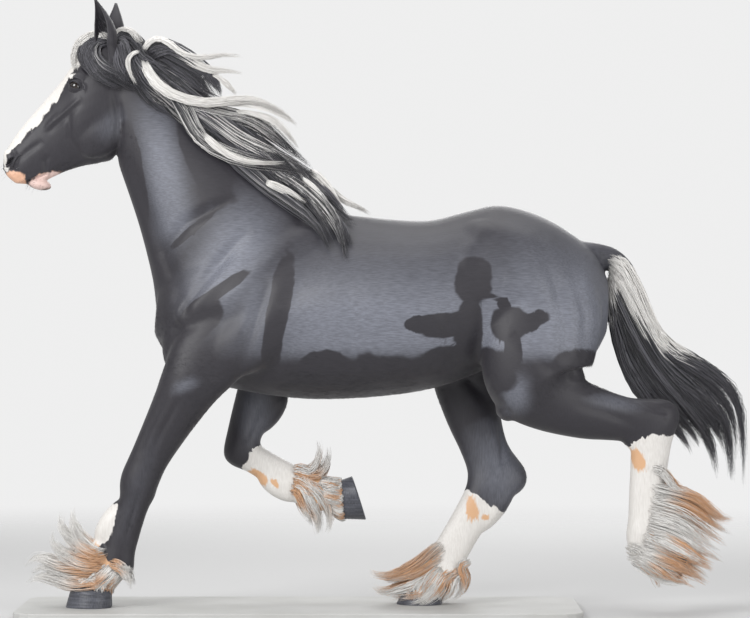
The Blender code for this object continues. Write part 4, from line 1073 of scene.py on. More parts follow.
    def join_ears(self, skin: Object) -> None:
        """Grows both ears out of the skin and softens where they meet it.

        Args:
            skin: the skin.
        """
        for side in Side:
            ear = self.ear(side)
            union = skin.modifiers.new("ear", "BOOLEAN")
            union.operation, union.solver, union.object = "UNION", "MANIFOLD", ear
            apply_modifiers(skin)
            bpy.data.objects.remove(ear)
        bm = bmesh.new()
        bm.from_mesh(skin.data)
        for side in Side:
            base = mirrored(self.ear_base, side)
            near = [v for v in bm.verts if (v.co - base).length < 0.062 and v.co.z < base.z + 0.022]
            axes = {f"use_axis_{axis}": True for axis in "xyz"}
            for _ in range(8):
                bmesh.ops.smooth_vert(bm, verts=near, factor=0.5, **axes)
        bm.to_mesh(skin.data)
        bm.free()

    def build(self, skin: Object) -> None:
        """Works all the fine forms into the skin.

        Args:
            skin: the skin.
        """
        bm = bmesh.new()
        bm.from_mesh(skin.data)
        bmesh.ops.triangulate(bm, faces=bm.faces)
        self.refine(bm, Vector(self.mouth), self.fine_mouth)
        for side in Side:
            self.open_eye(bm, side)
            self.open_nostril(bm, side)
        bm.normal_update()
        bm.to_mesh(skin.data)
        bm.free()
        skin.data.update()
        co, normals = points_of(skin.data), points_of(skin.data, "normal")
        out = smoothstep(np.hypot(normals[:, 1], 0.9 * np.minimum(normals[:, 0], 0)), 0.0, 0.5)
        move_points(skin.data, normals, sum(stroke.push(co, out) for stroke in LIP_STROKES))
        self.join_ears(skin)
        skin.data.shade_smooth()

    def eyeball(self, side: Side) -> Object:
        """Makes one eye.

        Args:
            side: which eye it is.

        Returns:
            A ball with its pole on its way out, whose clear front stands a little proud.
        """
        centre, out, front, up = self.eye_axes(side)
        bm = bmesh.new()
        bmesh.ops.create_uvsphere(bm, u_segments=48, v_segments=32, radius=self.eye_radius - 0.0004)
        for vert in bm.verts:
            off = math.hypot(vert.co.x, vert.co.y) / self.eye_radius
            if vert.co.z > 0:
                vert.co.z += 0.0014 * math.exp(-((off / 0.55) ** 4))
        turn = Matrix((front, up, out)).transposed().to_4x4()
        bmesh.ops.transform(bm, matrix=Matrix.Translation(centre) @ turn, verts=bm.verts)
        bmesh.ops.recalc_face_normals(bm, faces=bm.faces)
        made = new_object("eye_near" if side is Side.NEAR else "eye_off", bm)
        made.data.shade_smooth()
        return made


@dataclass
class Hoof:
    """A hoof: a leaning wall with growth rings, a hollow sole and a frog."""

    leg: Leg
    top_half: Point2 = (0.0895, 0.0815)
    bottom_half: Point2 = (0.1095, 0.0995)
    reach: float = 0.015
    slope: float = 0.28
    heel_share: float = 0.86
    sides: int = 72
    courses: int = 34
    # The rings of growth: how far they stand out, and how many radians of them the wall has
    growth: Point2 = (0.0009, 46.0)
    # The band under the hairline: how far it stands out, and the share of the wall that it takes
    band: Point2 = (0.0035, 0.07)
    # How far in from the wall each ring of the sole lies
    sole: tuple[float, ...] = (0.004, 0.009, 0.012, 0.022, 0.04, 0.06, 0.078)
    gap: float = 0.0006

    def outline(self, angle: float, share: float, inset: float = 0.0) -> Point2:
        """Finds a point of the wall.

        Args:
            angle: the way to it, 0 in front.
            share: how far down the wall it is.
            inset: metres inside the wall.

        Returns:
            The point as (forward, out).
        """
        lean = share**1.1
        length = self.top_half[0] + (self.bottom_half[0] - self.top_half[0]) * lean - inset
        width = self.top_half[1] + (self.bottom_half[1] - self.top_half[1]) * lean - inset
        forward = math.cos(angle) * length
        if forward < 0:
            forward *= self.heel_share
            forward += 0.016 * math.exp(-((math.sin(angle) / 0.22) ** 2))
        return forward + self.reach * lean, math.sin(angle) * width

    def build(self) -> Object:
        """Makes the hoof from rings bridged down the wall and in over the sole.

        Returns:
            The hoof.
        """
        top, down, front, height = self.leg.hoof_axes()
        y = self.leg.side.value * self.leg.spread[-1]
        bm = bmesh.new()
        plan = [(share / self.courses, 0.0, 0.0) for share in range(self.courses + 1)]
        plan += [(1.0, inset, min(inset * 0.9, 0.01)) for inset in self.sole]
        for number, ring in bridged(bm, len(plan), self.sides):
            share, inset, hollow = plan[number]
            for vert in ring:
                angle = math.atan2(vert.co.y, vert.co.x)
                ridge = self.growth[0] * math.sin(share * self.growth[1] + 0.5 * math.sin(3 * angle))
                ridge = ridge * (1 - share) + self.band[0] * math.exp(-((share / self.band[1]) ** 2))
                ridge -= 0.003 * (share == 0) + 0.002 * (share == 1)
                forward, out = self.outline(angle, share, inset - ridge)
                depth = height * share - self.slope * (forward - self.reach * share) * (1 - share)
                frog = max(0.0, 1 - abs(out) / (0.012 + 0.2 * max(0.0, -forward))) * (forward < 0.03)
                depth -= hollow * (1 - 0.85 * frog) if inset > 0.009 else hollow * 0.3
                depth += self.gap * (1 - share) - self.gap * share * 0.2
                spot = top + front * forward + down * depth
                vert.co = (spot.x, y + out, spot.y)
        made = new_object(f"horn_{self.leg.name}", bm)
        made.data.shade_smooth()
        made.data.set_sharp_from_angle(angle=math.radians(42))
        return made


@dataclass(frozen=True)
class Part:
    """One part of the unwrap of the skin: the part's middle line and its tile of the map."""

    line: tuple[Point3, ...]
    tile: tuple[float, float, float, float]

    def unwrap(self, spots: Array) -> Array:
        """Lays places on this part out flat.

        Args:
            spots: the places.

        Returns:
            Where they lie on the map: round the part in u and along it in v.
        """
        line = np.array(self.line, float)
        along, _, nearest = along_line(spots, line)
        run = (line[1:] - line[:-1])[nearest]
        away = spots - line[nearest]
        away = away - run * np.clip((away * run).sum(1) / (run * run).sum(1), 0, 1)[:, None]
        flat = np.maximum(np.hypot(run[:, 0], run[:, 2]), 1e-9)
        up = (away[:, 0] * run[:, 2] - away[:, 2] * run[:, 0]) / flat
        around = np.arctan2(away[:, 1], up) / (2 * math.pi) + 0.5
        u, v, width, height = self.tile
        return np.stack((u + around * width, v + along * height), 1)


@dataclass
class Tress:
    """A lock of long hair: its middle line, the way its flat side faces, its size and its colours."""

    points: Sequence[Vector]
    normals: Sequence[Vector]
    width: float
    thickness: float
    strands: int
    white: tuple[float, ...] = (0.0,)
    tan: tuple[float, ...] = (0.0,)
    part: str = "neck"
    root: float = 0.55
    full: float = 0.5
    wave: float = 0.004
    stagger: float = 0.08


@dataclass
class HairPiece:
    """Many tresses as one mesh of tapered strands, each a closed, flattened, three-sided rod."""

    name: str
    rings: int = 10
    strand: float = 0.0021
    flatness: float = 0.42
    # Places along a strand, and its breadth there
    taper: tuple[tuple[float, ...], ...] = ((0.0, 0.14, 0.55, 1.0), (0.35, 1.0, 0.85, 0.1))
    patch: float = 0.003
    shortest: float = 0.72

    def template(self) -> Array:
        """Makes one strand.

        Returns:
            Its triangles, as numbers of its points, ring after ring.
        """
        bm = bmesh.new()
        for number, ring in bridged(bm, self.rings, 3):
            for vert in ring:
                vert.co.z = number
        bmesh.ops.triangulate(bm, faces=bm.faces)
        bm.verts.index_update()
        self.corners = np.array([v.co for v in bm.verts])[:3, :2]
        faces = np.array([[v.index for v in f.verts] for f in bm.faces])
        bm.free()
        return faces

    def grow(self, tress: Tress, rng: Rng) -> tuple[Array, ...]:
        """The strands of one tress.

        Args:
            tress: the lock.
            rng: the piece's own random draws.

        Returns:
            The points (strand, ring, corner, 3), and for each ring white, tan and the share along;
            then each strand's tone and the place of its root.
        """
        n, rings = tress.strands, self.rings
        fine = np.linspace(0, 1, 25)
        line = np.array([along_curve(tress.points, t) for t in fine])
        flat = unit(np.array([along_curve(tress.normals, t) for t in fine]))
        first, last = rng.uniform(0, tress.stagger, n)[:, None], rng.uniform(self.shortest, 1.0, n)[:, None]
        reach = first + (last - first) * np.linspace(0, 1, rings)[None, :]
        middle = np.stack([np.interp(reach, fine, line[:, i]) for i in range(3)], -1)
        facing = unit(np.stack([np.interp(reach, fine, flat[:, i]) for i in range(3)], -1))
        along = unit(np.gradient(middle, axis=1))
        side = unit(np.cross(facing, along))
        up = np.cross(along, side)
        # The lock gathers at its root and at its tip
        wide = np.interp(reach, (0, 0.18, tress.full, 1), (tress.root, 1.0, 0.95, 0.06))
        across = rng.uniform(-1, 1, n)[:, None]
        lift = rng.uniform(-0.35, 1, n)[:, None] * np.sqrt(np.clip(1 - across**2, 0, 1))
        turns, start = rng.uniform(0.7, 1.6, n)[:, None], rng.uniform(0, 1, n)[:, None]
        stray = rng.normal(0, 1, n)[:, None] * reach**1.5 * tress.wave * 1.2
        wave = np.sin(2 * math.pi * (turns * reach + start)) * tress.wave * np.sqrt(reach)
        place = middle + side * (across * wide * tress.width / 2 + wave + stray)[..., None]
        place += up * (lift * wide**0.5 * tress.thickness / 2)[..., None]
        along = unit(np.gradient(place, axis=1))
        side = unit(np.cross(up, along))
        up = np.cross(along, side)
        share = np.linspace(0, 1, rings)
        radius = self.strand * np.interp(share, *self.taper)
        radius = radius[None, :] * rng.uniform(0.7, 1.3, n)[:, None]
        roll = rng.uniform(-0.7, 0.7, n)[:, None, None]
        cos, sin = np.cos(roll), np.sin(roll)
        side, up = side * cos + up * sin, up * cos - side * sin
        points = place[:, :, None, :] + radius[..., None, None] * (
            self.corners[None, None, :, 0, None] * side[:, :, None, :]
            + self.corners[None, None, :, 1, None] * self.flatness * up[:, :, None, :]
        )
        grades = [
            np.interp(reach, np.linspace(0, 1, len(g)), g) if len(g) > 1 else np.full_like(reach, g[0])
            for g in (tress.white, tress.tan)
        ]
        return points, *grades, reach, rng.uniform(0, 1, n), place[:, 0]

    def build(self, tresses: Sequence[Tress], seed: int, clear: Optional[Callable] = None) -> Object:
        """Makes the piece.

        Args:
            tresses: its locks.
            seed: the seed of its random draws.
            clear: moves points that lie where they can't, if given.

        Returns:
            The object, with its colours as attributes and its OFBake map.
        """
        rng = np.random.default_rng(seed)
        faces = self.template()
        grown = [self.grow(tress, rng) for tress in tresses]
        points, white, tan, share = (np.concatenate([g[i] for g in grown]) for i in range(4))
        tone, roots = (np.concatenate([g[i] for g in grown]) for i in (4, 5))
        if clear:
            points = clear(points)
        parts = np.concatenate([[t.part] * t.strands for t in tresses])
        made = self.gather(points, faces, roots, parts)
        for name, values in (("white", white), ("tan", tan), ("share", share)):
            set_attribute(made.data, name, np.repeat(values.ravel(), 3))
        set_attribute(made.data, "tone", np.repeat(tone, self.rings * 3))
        return made

    def gather(self, points: Array, faces: Array, roots: Array, parts: Array) -> Object:
        """Joins strands into one mesh, each with its own small patch of the map.

        Args:
            points: every strand's points, as (strand, ring, corner, 3).
            faces: the triangles of one strand.
            roots: where each strand grows.
            parts: the name of the part of the unwrap that it grows on.

        Returns:
            The object.
        """
        count, size = len(points), self.rings * 3
        mesh = bpy.data.meshes.new(self.name)
        mesh.vertices.add(count * size)
        mesh.vertices.foreach_set("co", points.astype(np.float32).ravel())
        every = (faces[None] + size * np.arange(count)[:, None, None]).reshape(-1, 3)
        mesh.loops.add(len(every) * 3)
        mesh.loops.foreach_set("vertex_index", every.astype(np.int32).ravel())
        mesh.polygons.add(len(every))
        mesh.polygons.foreach_set("loop_start", np.arange(0, len(every) * 3, 3, dtype=np.int32))
        mesh.polygons.foreach_set("use_smooth", np.ones(len(every), bool))
        mesh.update(calc_edges=True)
        spots = np.zeros((count, 2))
        for part in sorted(set(parts)):
            spots[parts == part] = PARTS[part].unwrap(roots[parts == part])
        corner = np.tile(np.array((0.0, 0.5, 1.0)), self.rings)
        ring = np.repeat(np.linspace(0, 1, self.rings), 3)
        patch = np.stack((corner, ring), 1)[None] * self.patch + spots[:, None]
        layer = mesh.uv_layers.new(name="OFBake")
        layer.data.foreach_set("uv", patch.reshape(-1, 2)[every.ravel()].astype(np.float32).ravel())
        made = bpy.data.objects.new(self.name, mesh)
        bpy.context.scene.collection.objects.link(made)
        return made


LEGS = {
    leg.name: leg
    for leg in (
        Leg("fore_near", Side.NEAR, (-0.44, 0.985), (29, 16, 48), 0,
            (0.185, 0.135, 0.11, 0.105), FORE_BONES, FORELEG),
        Leg("fore_off", Side.OFF, (-0.085, 1.145), (20, -62, -75), -108,
            (0.185, 0.15, 0.13, 0.13), FORE_BONES, FORELEG),
        Leg("hind_near", Side.NEAR, (1.054, 1.372), (16, -77, 3, -55), -76,
            (0.185, 0.212, 0.165, 0.15, 0.15), HIND_BONES, HINDLEG),
        Leg("hind_off", Side.OFF, (1.04, 1.372), (57, -18.2, 30, 35), 0,
            (0.185, 0.205, 0.125, 0.07, 0.06), HIND_BONES, HINDLEG),
    )
}

STROKES = (
    Stroke(((-0.74, 1.95), (-0.62, 1.62), (-0.52, 1.38), (-0.45, 1.2)), 0.03, -0.012),
    Stroke(((-0.62, 2.2), (-0.3, 1.93), (-0.02, 1.72)), 0.035, -0.007),
    Stroke(((-0.22, 1.8), (-0.482, 1.664), (-0.611, 1.509)), 0.026, -0.014),
    Stroke(((-0.2, 1.64), (-0.258, 1.587), (-0.473, 1.329), (-0.53, 1.2)), 0.024, -0.015),
    Stroke(((0.0, 1.62), (-0.18, 1.46), (-0.38, 1.28)), 0.034, 0.008),
    Stroke(((-0.12, 1.42), (-0.1505, 1.35), (-0.22, 1.12), (-0.262, 0.985)), 0.028, -0.016),
    Stroke(((-0.02, 1.18), (-0.1, 1.04), (-0.22, 0.99)), 0.03, -0.01),
    Stroke(((0.1, 1.62), (0.04, 1.46), (-0.06, 1.3)), 0.05, -0.01),
    Stroke(((0.774, 1.34), (0.77, 1.2), (0.73, 1.05), (0.66, 0.99)), 0.03, -0.016),
    Stroke(((0.62, 1.12), (0.74, 0.98), (0.89, 0.82)), 0.03, -0.014),
    Stroke(((1.0, 1.62), (1.1, 1.36), (1.14, 1.1)), 0.026, -0.01),
    Stroke(((1.15, 1.5), (1.21, 1.28), (1.2, 1.06)), 0.022, -0.007),
    Stroke(((0.8, 1.66), (0.72, 1.56), (0.7, 1.46)), 0.03, 0.01),
    Stroke(((0.9, 1.2), (1.04, 1.06), (1.16, 0.98)), 0.03, -0.008),
    Stroke(((0.86, 1.42), (0.98, 1.4), (1.08, 1.34)), 0.06, 0.01),
    Stroke(((0.2, 1.4), (0.24, 1.22), (0.2, 1.06)), 0.018, -0.0022),
    Stroke(((0.32, 1.42), (0.37, 1.22), (0.33, 1.06)), 0.018, -0.0022),
    Stroke(((0.44, 1.42), (0.5, 1.22), (0.46, 1.07)), 0.018, -0.0022),
    Stroke(((0.56, 1.42), (0.63, 1.24), (0.6, 1.1)), 0.018, -0.002),
    Stroke(((-0.985, 2.14), (-0.985, 2.03), (-0.93, 1.945)), 0.013, -0.006),
    Stroke(((-0.8, 2.26), (-0.77, 2.12), (-0.785, 1.99)), 0.018, -0.01),
    Stroke(((-0.93, 2.205), (-1.01, 2.135), (-1.095, 2.06)), 0.01, 0.006),
    Stroke(((-0.93, 2.18), (-1.01, 2.11), (-1.08, 2.05)), 0.012, -0.004),
    Stroke(((-0.885, 2.355), (-0.905, 2.335), (-0.925, 2.315)), 0.02, -0.011),
    Stroke(((-1.06, 2.17), (-1.14, 2.09), (-1.21, 2.01)), 0.013, -0.005),
    Stroke(((-1.1, 2.02), (-1.17, 1.97), (-1.215, 1.93)), 0.014, -0.005),
    Stroke(((-1.075, 1.96), (-1.09, 1.93), (-1.085, 1.885)), 0.013, -0.006),
    Stroke(((-0.96, 1.93), (-1.02, 1.905), (-1.07, 1.885)), 0.012, -0.004),
    Stroke(((1.3, 0.955), (1.45, 0.905), (1.56, 0.85)), 0.014, -0.014, "hind_near"),
    Stroke(((1.16, 0.9), (1.3, 0.86), (1.44, 0.8)), 0.02, -0.006, "hind_near"),
    Stroke(((0.86, 0.8), (0.875, 0.7), (0.87, 0.62)), 0.014, -0.012, "hind_off"),
    Stroke(((-0.5, 0.92), (-0.58, 0.78), (-0.63, 0.66)), 0.014, -0.008, "fore_near"),
    Stroke(((-0.56, 0.93), (-0.64, 0.78), (-0.68, 0.68)), 0.012, -0.006, "fore_near"),
    Stroke(((-0.675, 0.53), (-0.715, 0.4), (-0.745, 0.28)), 0.01, -0.008, "fore_near"),
    Stroke(((-0.14, 0.92), (-0.2, 0.82), (-0.24, 0.72)), 0.014, -0.007, "fore_off"),
)
LIP_STROKES = (
    Stroke(((-1.3, 1.8), (-1.19, 1.838), (-1.085, 1.876)), 0.0045, -0.012, fade=0.25),
    Stroke(((-1.3, 1.815), (-1.19, 1.851), (-1.1, 1.884)), 0.009, 0.003),
    Stroke(((-1.075, 1.895), (-1.068, 1.878), (-1.076, 1.862)), 0.006, -0.004),
    Stroke(((-1.268, 1.905), (-1.235, 1.895), (-1.2, 1.89)), 0.01, -0.003),
)

FACE = Face()
# How the hair lies on each part of the body, as (x, y, z)
LIES = {
    "barrel": np.array((0.92, 0.0, -0.3)),
    "croup": np.array((0.42, 0.0, -0.9)),
    "neck": np.array((0.5, 0.0, -0.86)),
    "cheek": np.array((0.45, 0.0, -0.85)),
    "nose": np.array((-0.6, 0.0, -0.75)),
}


def middle_line(leg: Leg) -> tuple[Point3, ...]:
    """Finds a leg's middle line.

    Args:
        leg: the leg.

    Returns:
        Its joints as places.
    """
    return tuple(tuple(leg.place(bone, 0.0)) for bone in range(len(leg.bones))) + (
        tuple(leg.place(len(leg.bones) - 1, 1.0)),
    )


# The unwrap: each part's own tile of the map, as corner and size
PARTS = {
    "head": Part(((-0.72, 0, 2.27), (-1.0, 0, 2.12), (-1.25, 0, 1.92)), (0.01, 0.02, 0.2, 0.3)),
    "neck": Part(
        ((0.15, 0, 1.45), (-0.2, 0, 1.75), (-0.5, 0, 2.02), (-0.74, 0, 2.2)), (0.26, 0.02, 0.22, 0.45)
    ),
    "trunk": Part(((-0.6, 0, 1.3), (0.3, 0, 1.3), (1.3, 0, 1.35)), (0.52, 0.02, 0.46, 0.45)),
    "tail": Part(tuple((x, 0, z) for x, z in TAIL_GUIDES[1]), (0.01, 0.52, 0.18, 0.45)),
    **{
        name: Part(middle_line(leg), (0.22 + 0.19 * i, 0.52, 0.16, 0.45))
        for i, (name, leg) in enumerate(LEGS.items())
    },
}


def crest_out(tree: BVHTree, x: float, z: float, side: Side) -> float:
    """How far out the skin is at a place seen from the side, or nothing beside it."""
    hit = tree.ray_cast(Vector((x, side.value * 2.0, z)), Vector((0, -side.value, 0)))[0]
    return abs(hit.y) if hit else 0.0


class Streak(NamedTuple):
    """A lock: its line as (x, z), its breadth, how far it stands off at each end, its white."""

    points: tuple[Point2, ...]
    width: float
    off: Point2
    # How white the lock is from root to tip; its pale grades are a painted highlight
    white: tuple[float, ...]
    copies: int = 3
    full: float = 0.5


# How white locks are from root to tip; the two palest grades are painted highlights, laid in as white
# hair where the mane, poll and forelock catch the light
DARK, DIM = (0.0, 0.08, 0.05), (0.12, 0.3, 0.25, 0.1)
PAINTED_GREY_HIGHLIGHT, PAINTED_WHITE_HIGHLIGHT = (0.25, 0.42, 0.42, 0.2), (0.9, 1.0, 1.0, 0.95)
# Each lock starts at the crest and keeps its own bow: the ones over the neck lie, the others fly
MANE_STREAKS = (
    Streak(((-0.671, 2.391), (-0.649, 2.434), (-0.606, 2.453), (-0.55, 2.429), (-0.499, 2.389),
            (-0.408, 2.376), (-0.318, 2.389), (-0.241, 2.374)), 0.03, (0.025, 0.06), PAINTED_WHITE_HIGHLIGHT, 4),
    Streak(((-0.645, 2.369), (-0.581, 2.404), (-0.516, 2.386), (-0.439, 2.344), (-0.378, 2.322),
            (-0.31, 2.322), (-0.228, 2.309)), 0.03, (0.03, 0.075), (0.0, 0.1, 0.3, 0.9, 1.0, 1.0), 4),
    Streak(((-0.666, 2.386), (-0.611, 2.429), (-0.537, 2.404), (-0.464, 2.361), (-0.396, 2.309),
            (-0.357, 2.257), (-0.331, 2.202)), 0.06, (0.02, 0.06), DARK, 6, 0.8),
    Streak(((-0.666, 2.378), (-0.611, 2.38), (-0.537, 2.345), (-0.464, 2.3), (-0.404, 2.24),
            (-0.35, 2.197)), 0.06, (0.015, 0.04), DARK, 6, 0.8),
    Streak(((-0.65, 2.35), (-0.59, 2.32), (-0.52, 2.27), (-0.44, 2.22), (-0.37, 2.19)),
           0.06, (0.012, 0.03), DIM, 5, 0.8),
    Streak(((-0.675, 2.386), (-0.649, 2.313), (-0.589, 2.24), (-0.494, 2.195), (-0.387, 2.174),
            (-0.258, 2.193), (-0.163, 2.18), (-0.069, 2.137), (0.009, 2.073)),
           0.034, (0.03, 0.1), PAINTED_WHITE_HIGHLIGHT, 5, 0.75),
    Streak(((-0.43, 2.18), (-0.323, 2.18), (-0.236, 2.176), (-0.15, 2.159), (-0.065, 2.12),
            (0.004, 2.073)), 0.04, (0.05, 0.1), PAINTED_WHITE_HIGHLIGHT, 4, 0.4),
    Streak(((-0.378, 2.305), (-0.335, 2.283), (-0.297, 2.245), (-0.267, 2.202)),
           0.02, (0.06, 0.06), PAINTED_WHITE_HIGHLIGHT, 2),
    Streak(((-0.56, 2.23), (-0.516, 2.184), (-0.477, 2.111), (-0.43, 2.025), (-0.335, 1.965),
            (-0.215, 1.926), (-0.065, 1.905), (0.069, 1.866)), 0.06, (0.02, 0.035), PAINTED_GREY_HIGHLIGHT, 5, 0.7),
    Streak(((-0.5, 2.19), (-0.452, 2.171), (-0.323, 2.137), (-0.215, 2.111), (-0.129, 2.06),
            (-0.043, 1.987), (0.069, 1.896)), 0.06, (0.02, 0.045), PAINTED_GREY_HIGHLIGHT, 6, 0.7),
    Streak(((-0.5, 2.18), (-0.387, 2.111), (-0.28, 2.034), (-0.163, 1.974), (-0.043, 1.931),
            (0.086, 1.862)), 0.064, (0.018, 0.04), PAINTED_GREY_HIGHLIGHT, 6, 0.7),
    Streak(((-0.408, 2.055), (-0.353, 2.0), (-0.288, 1.952), (-0.215, 1.926), (-0.12, 1.922),
            (-0.013, 1.926)), 0.03, (0.045, 0.05), PAINTED_WHITE_HIGHLIGHT, 3),
    Streak(((-0.29, 2.15), (-0.236, 2.15), (-0.163, 2.133), (-0.095, 2.094), (-0.043, 2.038),
            (-0.004, 1.974)), 0.024, (0.04, 0.06), PAINTED_WHITE_HIGHLIGHT, 3, 0.7),
    Streak(((-0.34, 1.99), (-0.215, 1.888), (-0.12, 1.81), (0.0, 1.724), (0.086, 1.638),
            (0.129, 1.539)), 0.056, (0.015, 0.02), DIM, 6, 0.6),
    Streak(((-0.146, 1.84), (-0.086, 1.819), (-0.026, 1.789), (0.034, 1.742)),
           0.024, (0.035, 0.03), PAINTED_WHITE_HIGHLIGHT, 3),
    Streak(((-0.18, 1.96), (-0.1, 1.895), (0.0, 1.836), (0.107, 1.737), (0.172, 1.621),
            (0.202, 1.492)), 0.05, (0.02, 0.022), PAINTED_GREY_HIGHLIGHT, 5, 0.6),
    Streak(((0.0, 1.862), (0.056, 1.815), (0.103, 1.759), (0.146, 1.664)), 0.02, (0.04, 0.034), PAINTED_WHITE_HIGHLIGHT, 3),
    Streak(((0.04, 1.89), (0.08, 1.864), (0.129, 1.815), (0.163, 1.763), (0.181, 1.703)),
           0.024, (0.03, 0.045), PAINTED_WHITE_HIGHLIGHT, 3),
    Streak(((0.09, 1.84), (0.129, 1.81), (0.194, 1.762), (0.249, 1.735), (0.305, 1.698)),
           0.02, (0.01, 0.02), PAINTED_WHITE_HIGHLIGHT, 3),
    Streak(((0.0, 1.823), (0.107, 1.737), (0.181, 1.65), (0.228, 1.557)), 0.034, (0.018, 0.014), DARK, 4),
)
POLL_STREAKS = (
    Streak(((-0.8, 2.448), (-0.775, 2.49), (-0.735, 2.496), (-0.7, 2.468), (-0.672, 2.43)),
           0.024, (0.006, 0.03), PAINTED_WHITE_HIGHLIGHT, 3, 0.8),
    Streak(((-0.795, 2.44), (-0.77, 2.474), (-0.72, 2.462), (-0.68, 2.41), (-0.645, 2.318)),
           0.052, (0.008, 0.016), DARK, 6, 0.8),
    Streak(((-0.79, 2.44), (-0.76, 2.44), (-0.74, 2.38), (-0.715, 2.3), (-0.655, 2.23)),
           0.054, (0.008, 0.016), DARK, 6, 0.8),
    Streak(((-0.795, 2.44), (-0.79, 2.4), (-0.775, 2.33), (-0.74, 2.265), (-0.672, 2.222)),
           0.046, (0.006, 0.016), DARK, 5, 0.8),
    Streak(((-0.679, 2.4), (-0.716, 2.386), (-0.735, 2.348), (-0.722, 2.3), (-0.692, 2.253)),
           0.018, (0.028, 0.024), PAINTED_WHITE_HIGHLIGHT, 2),
)
FORELOCK_STREAKS = (
    Streak(((-0.8, 2.45), (-0.87, 2.478), (-0.935, 2.452), (-0.966, 2.404), (-0.97, 2.352), (-0.955, 2.312)),
           0.03, (0.008, 0.012), PAINTED_WHITE_HIGHLIGHT, 4),
    Streak(((-0.8, 2.448), (-0.87, 2.462), (-0.92, 2.43), (-0.938, 2.38), (-0.92, 2.33), (-0.88, 2.29)),
           0.04, (0.008, 0.014), DARK, 5),
    Streak(((-0.805, 2.446), (-0.88, 2.45), (-0.912, 2.4), (-0.893, 2.335), (-0.851, 2.288), (-0.783, 2.248),
            (-0.697, 2.228)), 0.042, (0.008, 0.018), DARK, 5, 0.6),
    Streak(((-0.805, 2.444), (-0.872, 2.44), (-0.892, 2.39), (-0.862, 2.33), (-0.81, 2.288), (-0.69, 2.24)),
           0.042, (0.008, 0.016), DARK, 5, 0.6),
    Streak(((-0.8, 2.442), (-0.862, 2.43), (-0.868, 2.38), (-0.83, 2.335), (-0.77, 2.305), (-0.69, 2.262)),
           0.04, (0.006, 0.014), DIM, 4, 0.6),
)


def lay_streak(
    streak: Streak, tree: BVHTree, side: Side, strands: int, part: str, rng: Rng
) -> Iterable[Tress]:
    """The few tresses that one lock is made of.

    Args:
        streak: the lock.
        tree: the skin without its ears, which the lock stays outside.
        side: the side that it hangs on.
        strands: how many strands each tress has.
        part: the part of the unwrap that it grows on.
        rng: the family's random draws.

    Yields:
        One tress for each copy, a little apart from the others.
    """
    line = [Vector(p) for p in streak.points]
    steps = 11
    for copy in range(streak.copies):
        reach = rng.uniform(0.86, 1.0)
        shift = rng.uniform(-0.32, 0.32) * streak.width
        bow = rng.uniform(-1, 1) * 0.006
        lift = rng.uniform(0, 1) * 0.012
        flat = []
        for k in range(steps):
            along = k / (steps - 1)
            spot = along_curve(line, reach * along)
            square = square_to(line, reach * along, 0.05)
            sway = bow * math.sin(2 * math.pi * along + copy)
            flat.append(spot + square * (shift * (1 - along * along) + sway))
        outs = np.array([crest_out(tree, spot.x, spot.y, side) for spot in flat])
        outs = raised(outs, 3)
        points, normals = [], []
        for k, spot in enumerate(flat):
            along = k / (steps - 1)
            out = outs[k] + lift * along + streak.off[0] + (streak.off[1] - streak.off[0]) * along
            if k == 0:
                out = max(outs[k] * 0.5, out - 0.02)
            free = 1.0 if outs[k] < 0.01 else 0.0
            points.append(Vector((spot.x, side.value * out, spot.y)))
            facing = Vector((0.0, side.value * (1 - 0.4 * free), 0.15 + 0.5 * (1 - along)))
            normals.append(facing.normalized())
        yield Tress(points, normals, streak.width * rng.uniform(0.75, 1.0), 0.02, strands,
                    white=streak.white, part=part, root=0.32, wave=0.0035, full=streak.full)


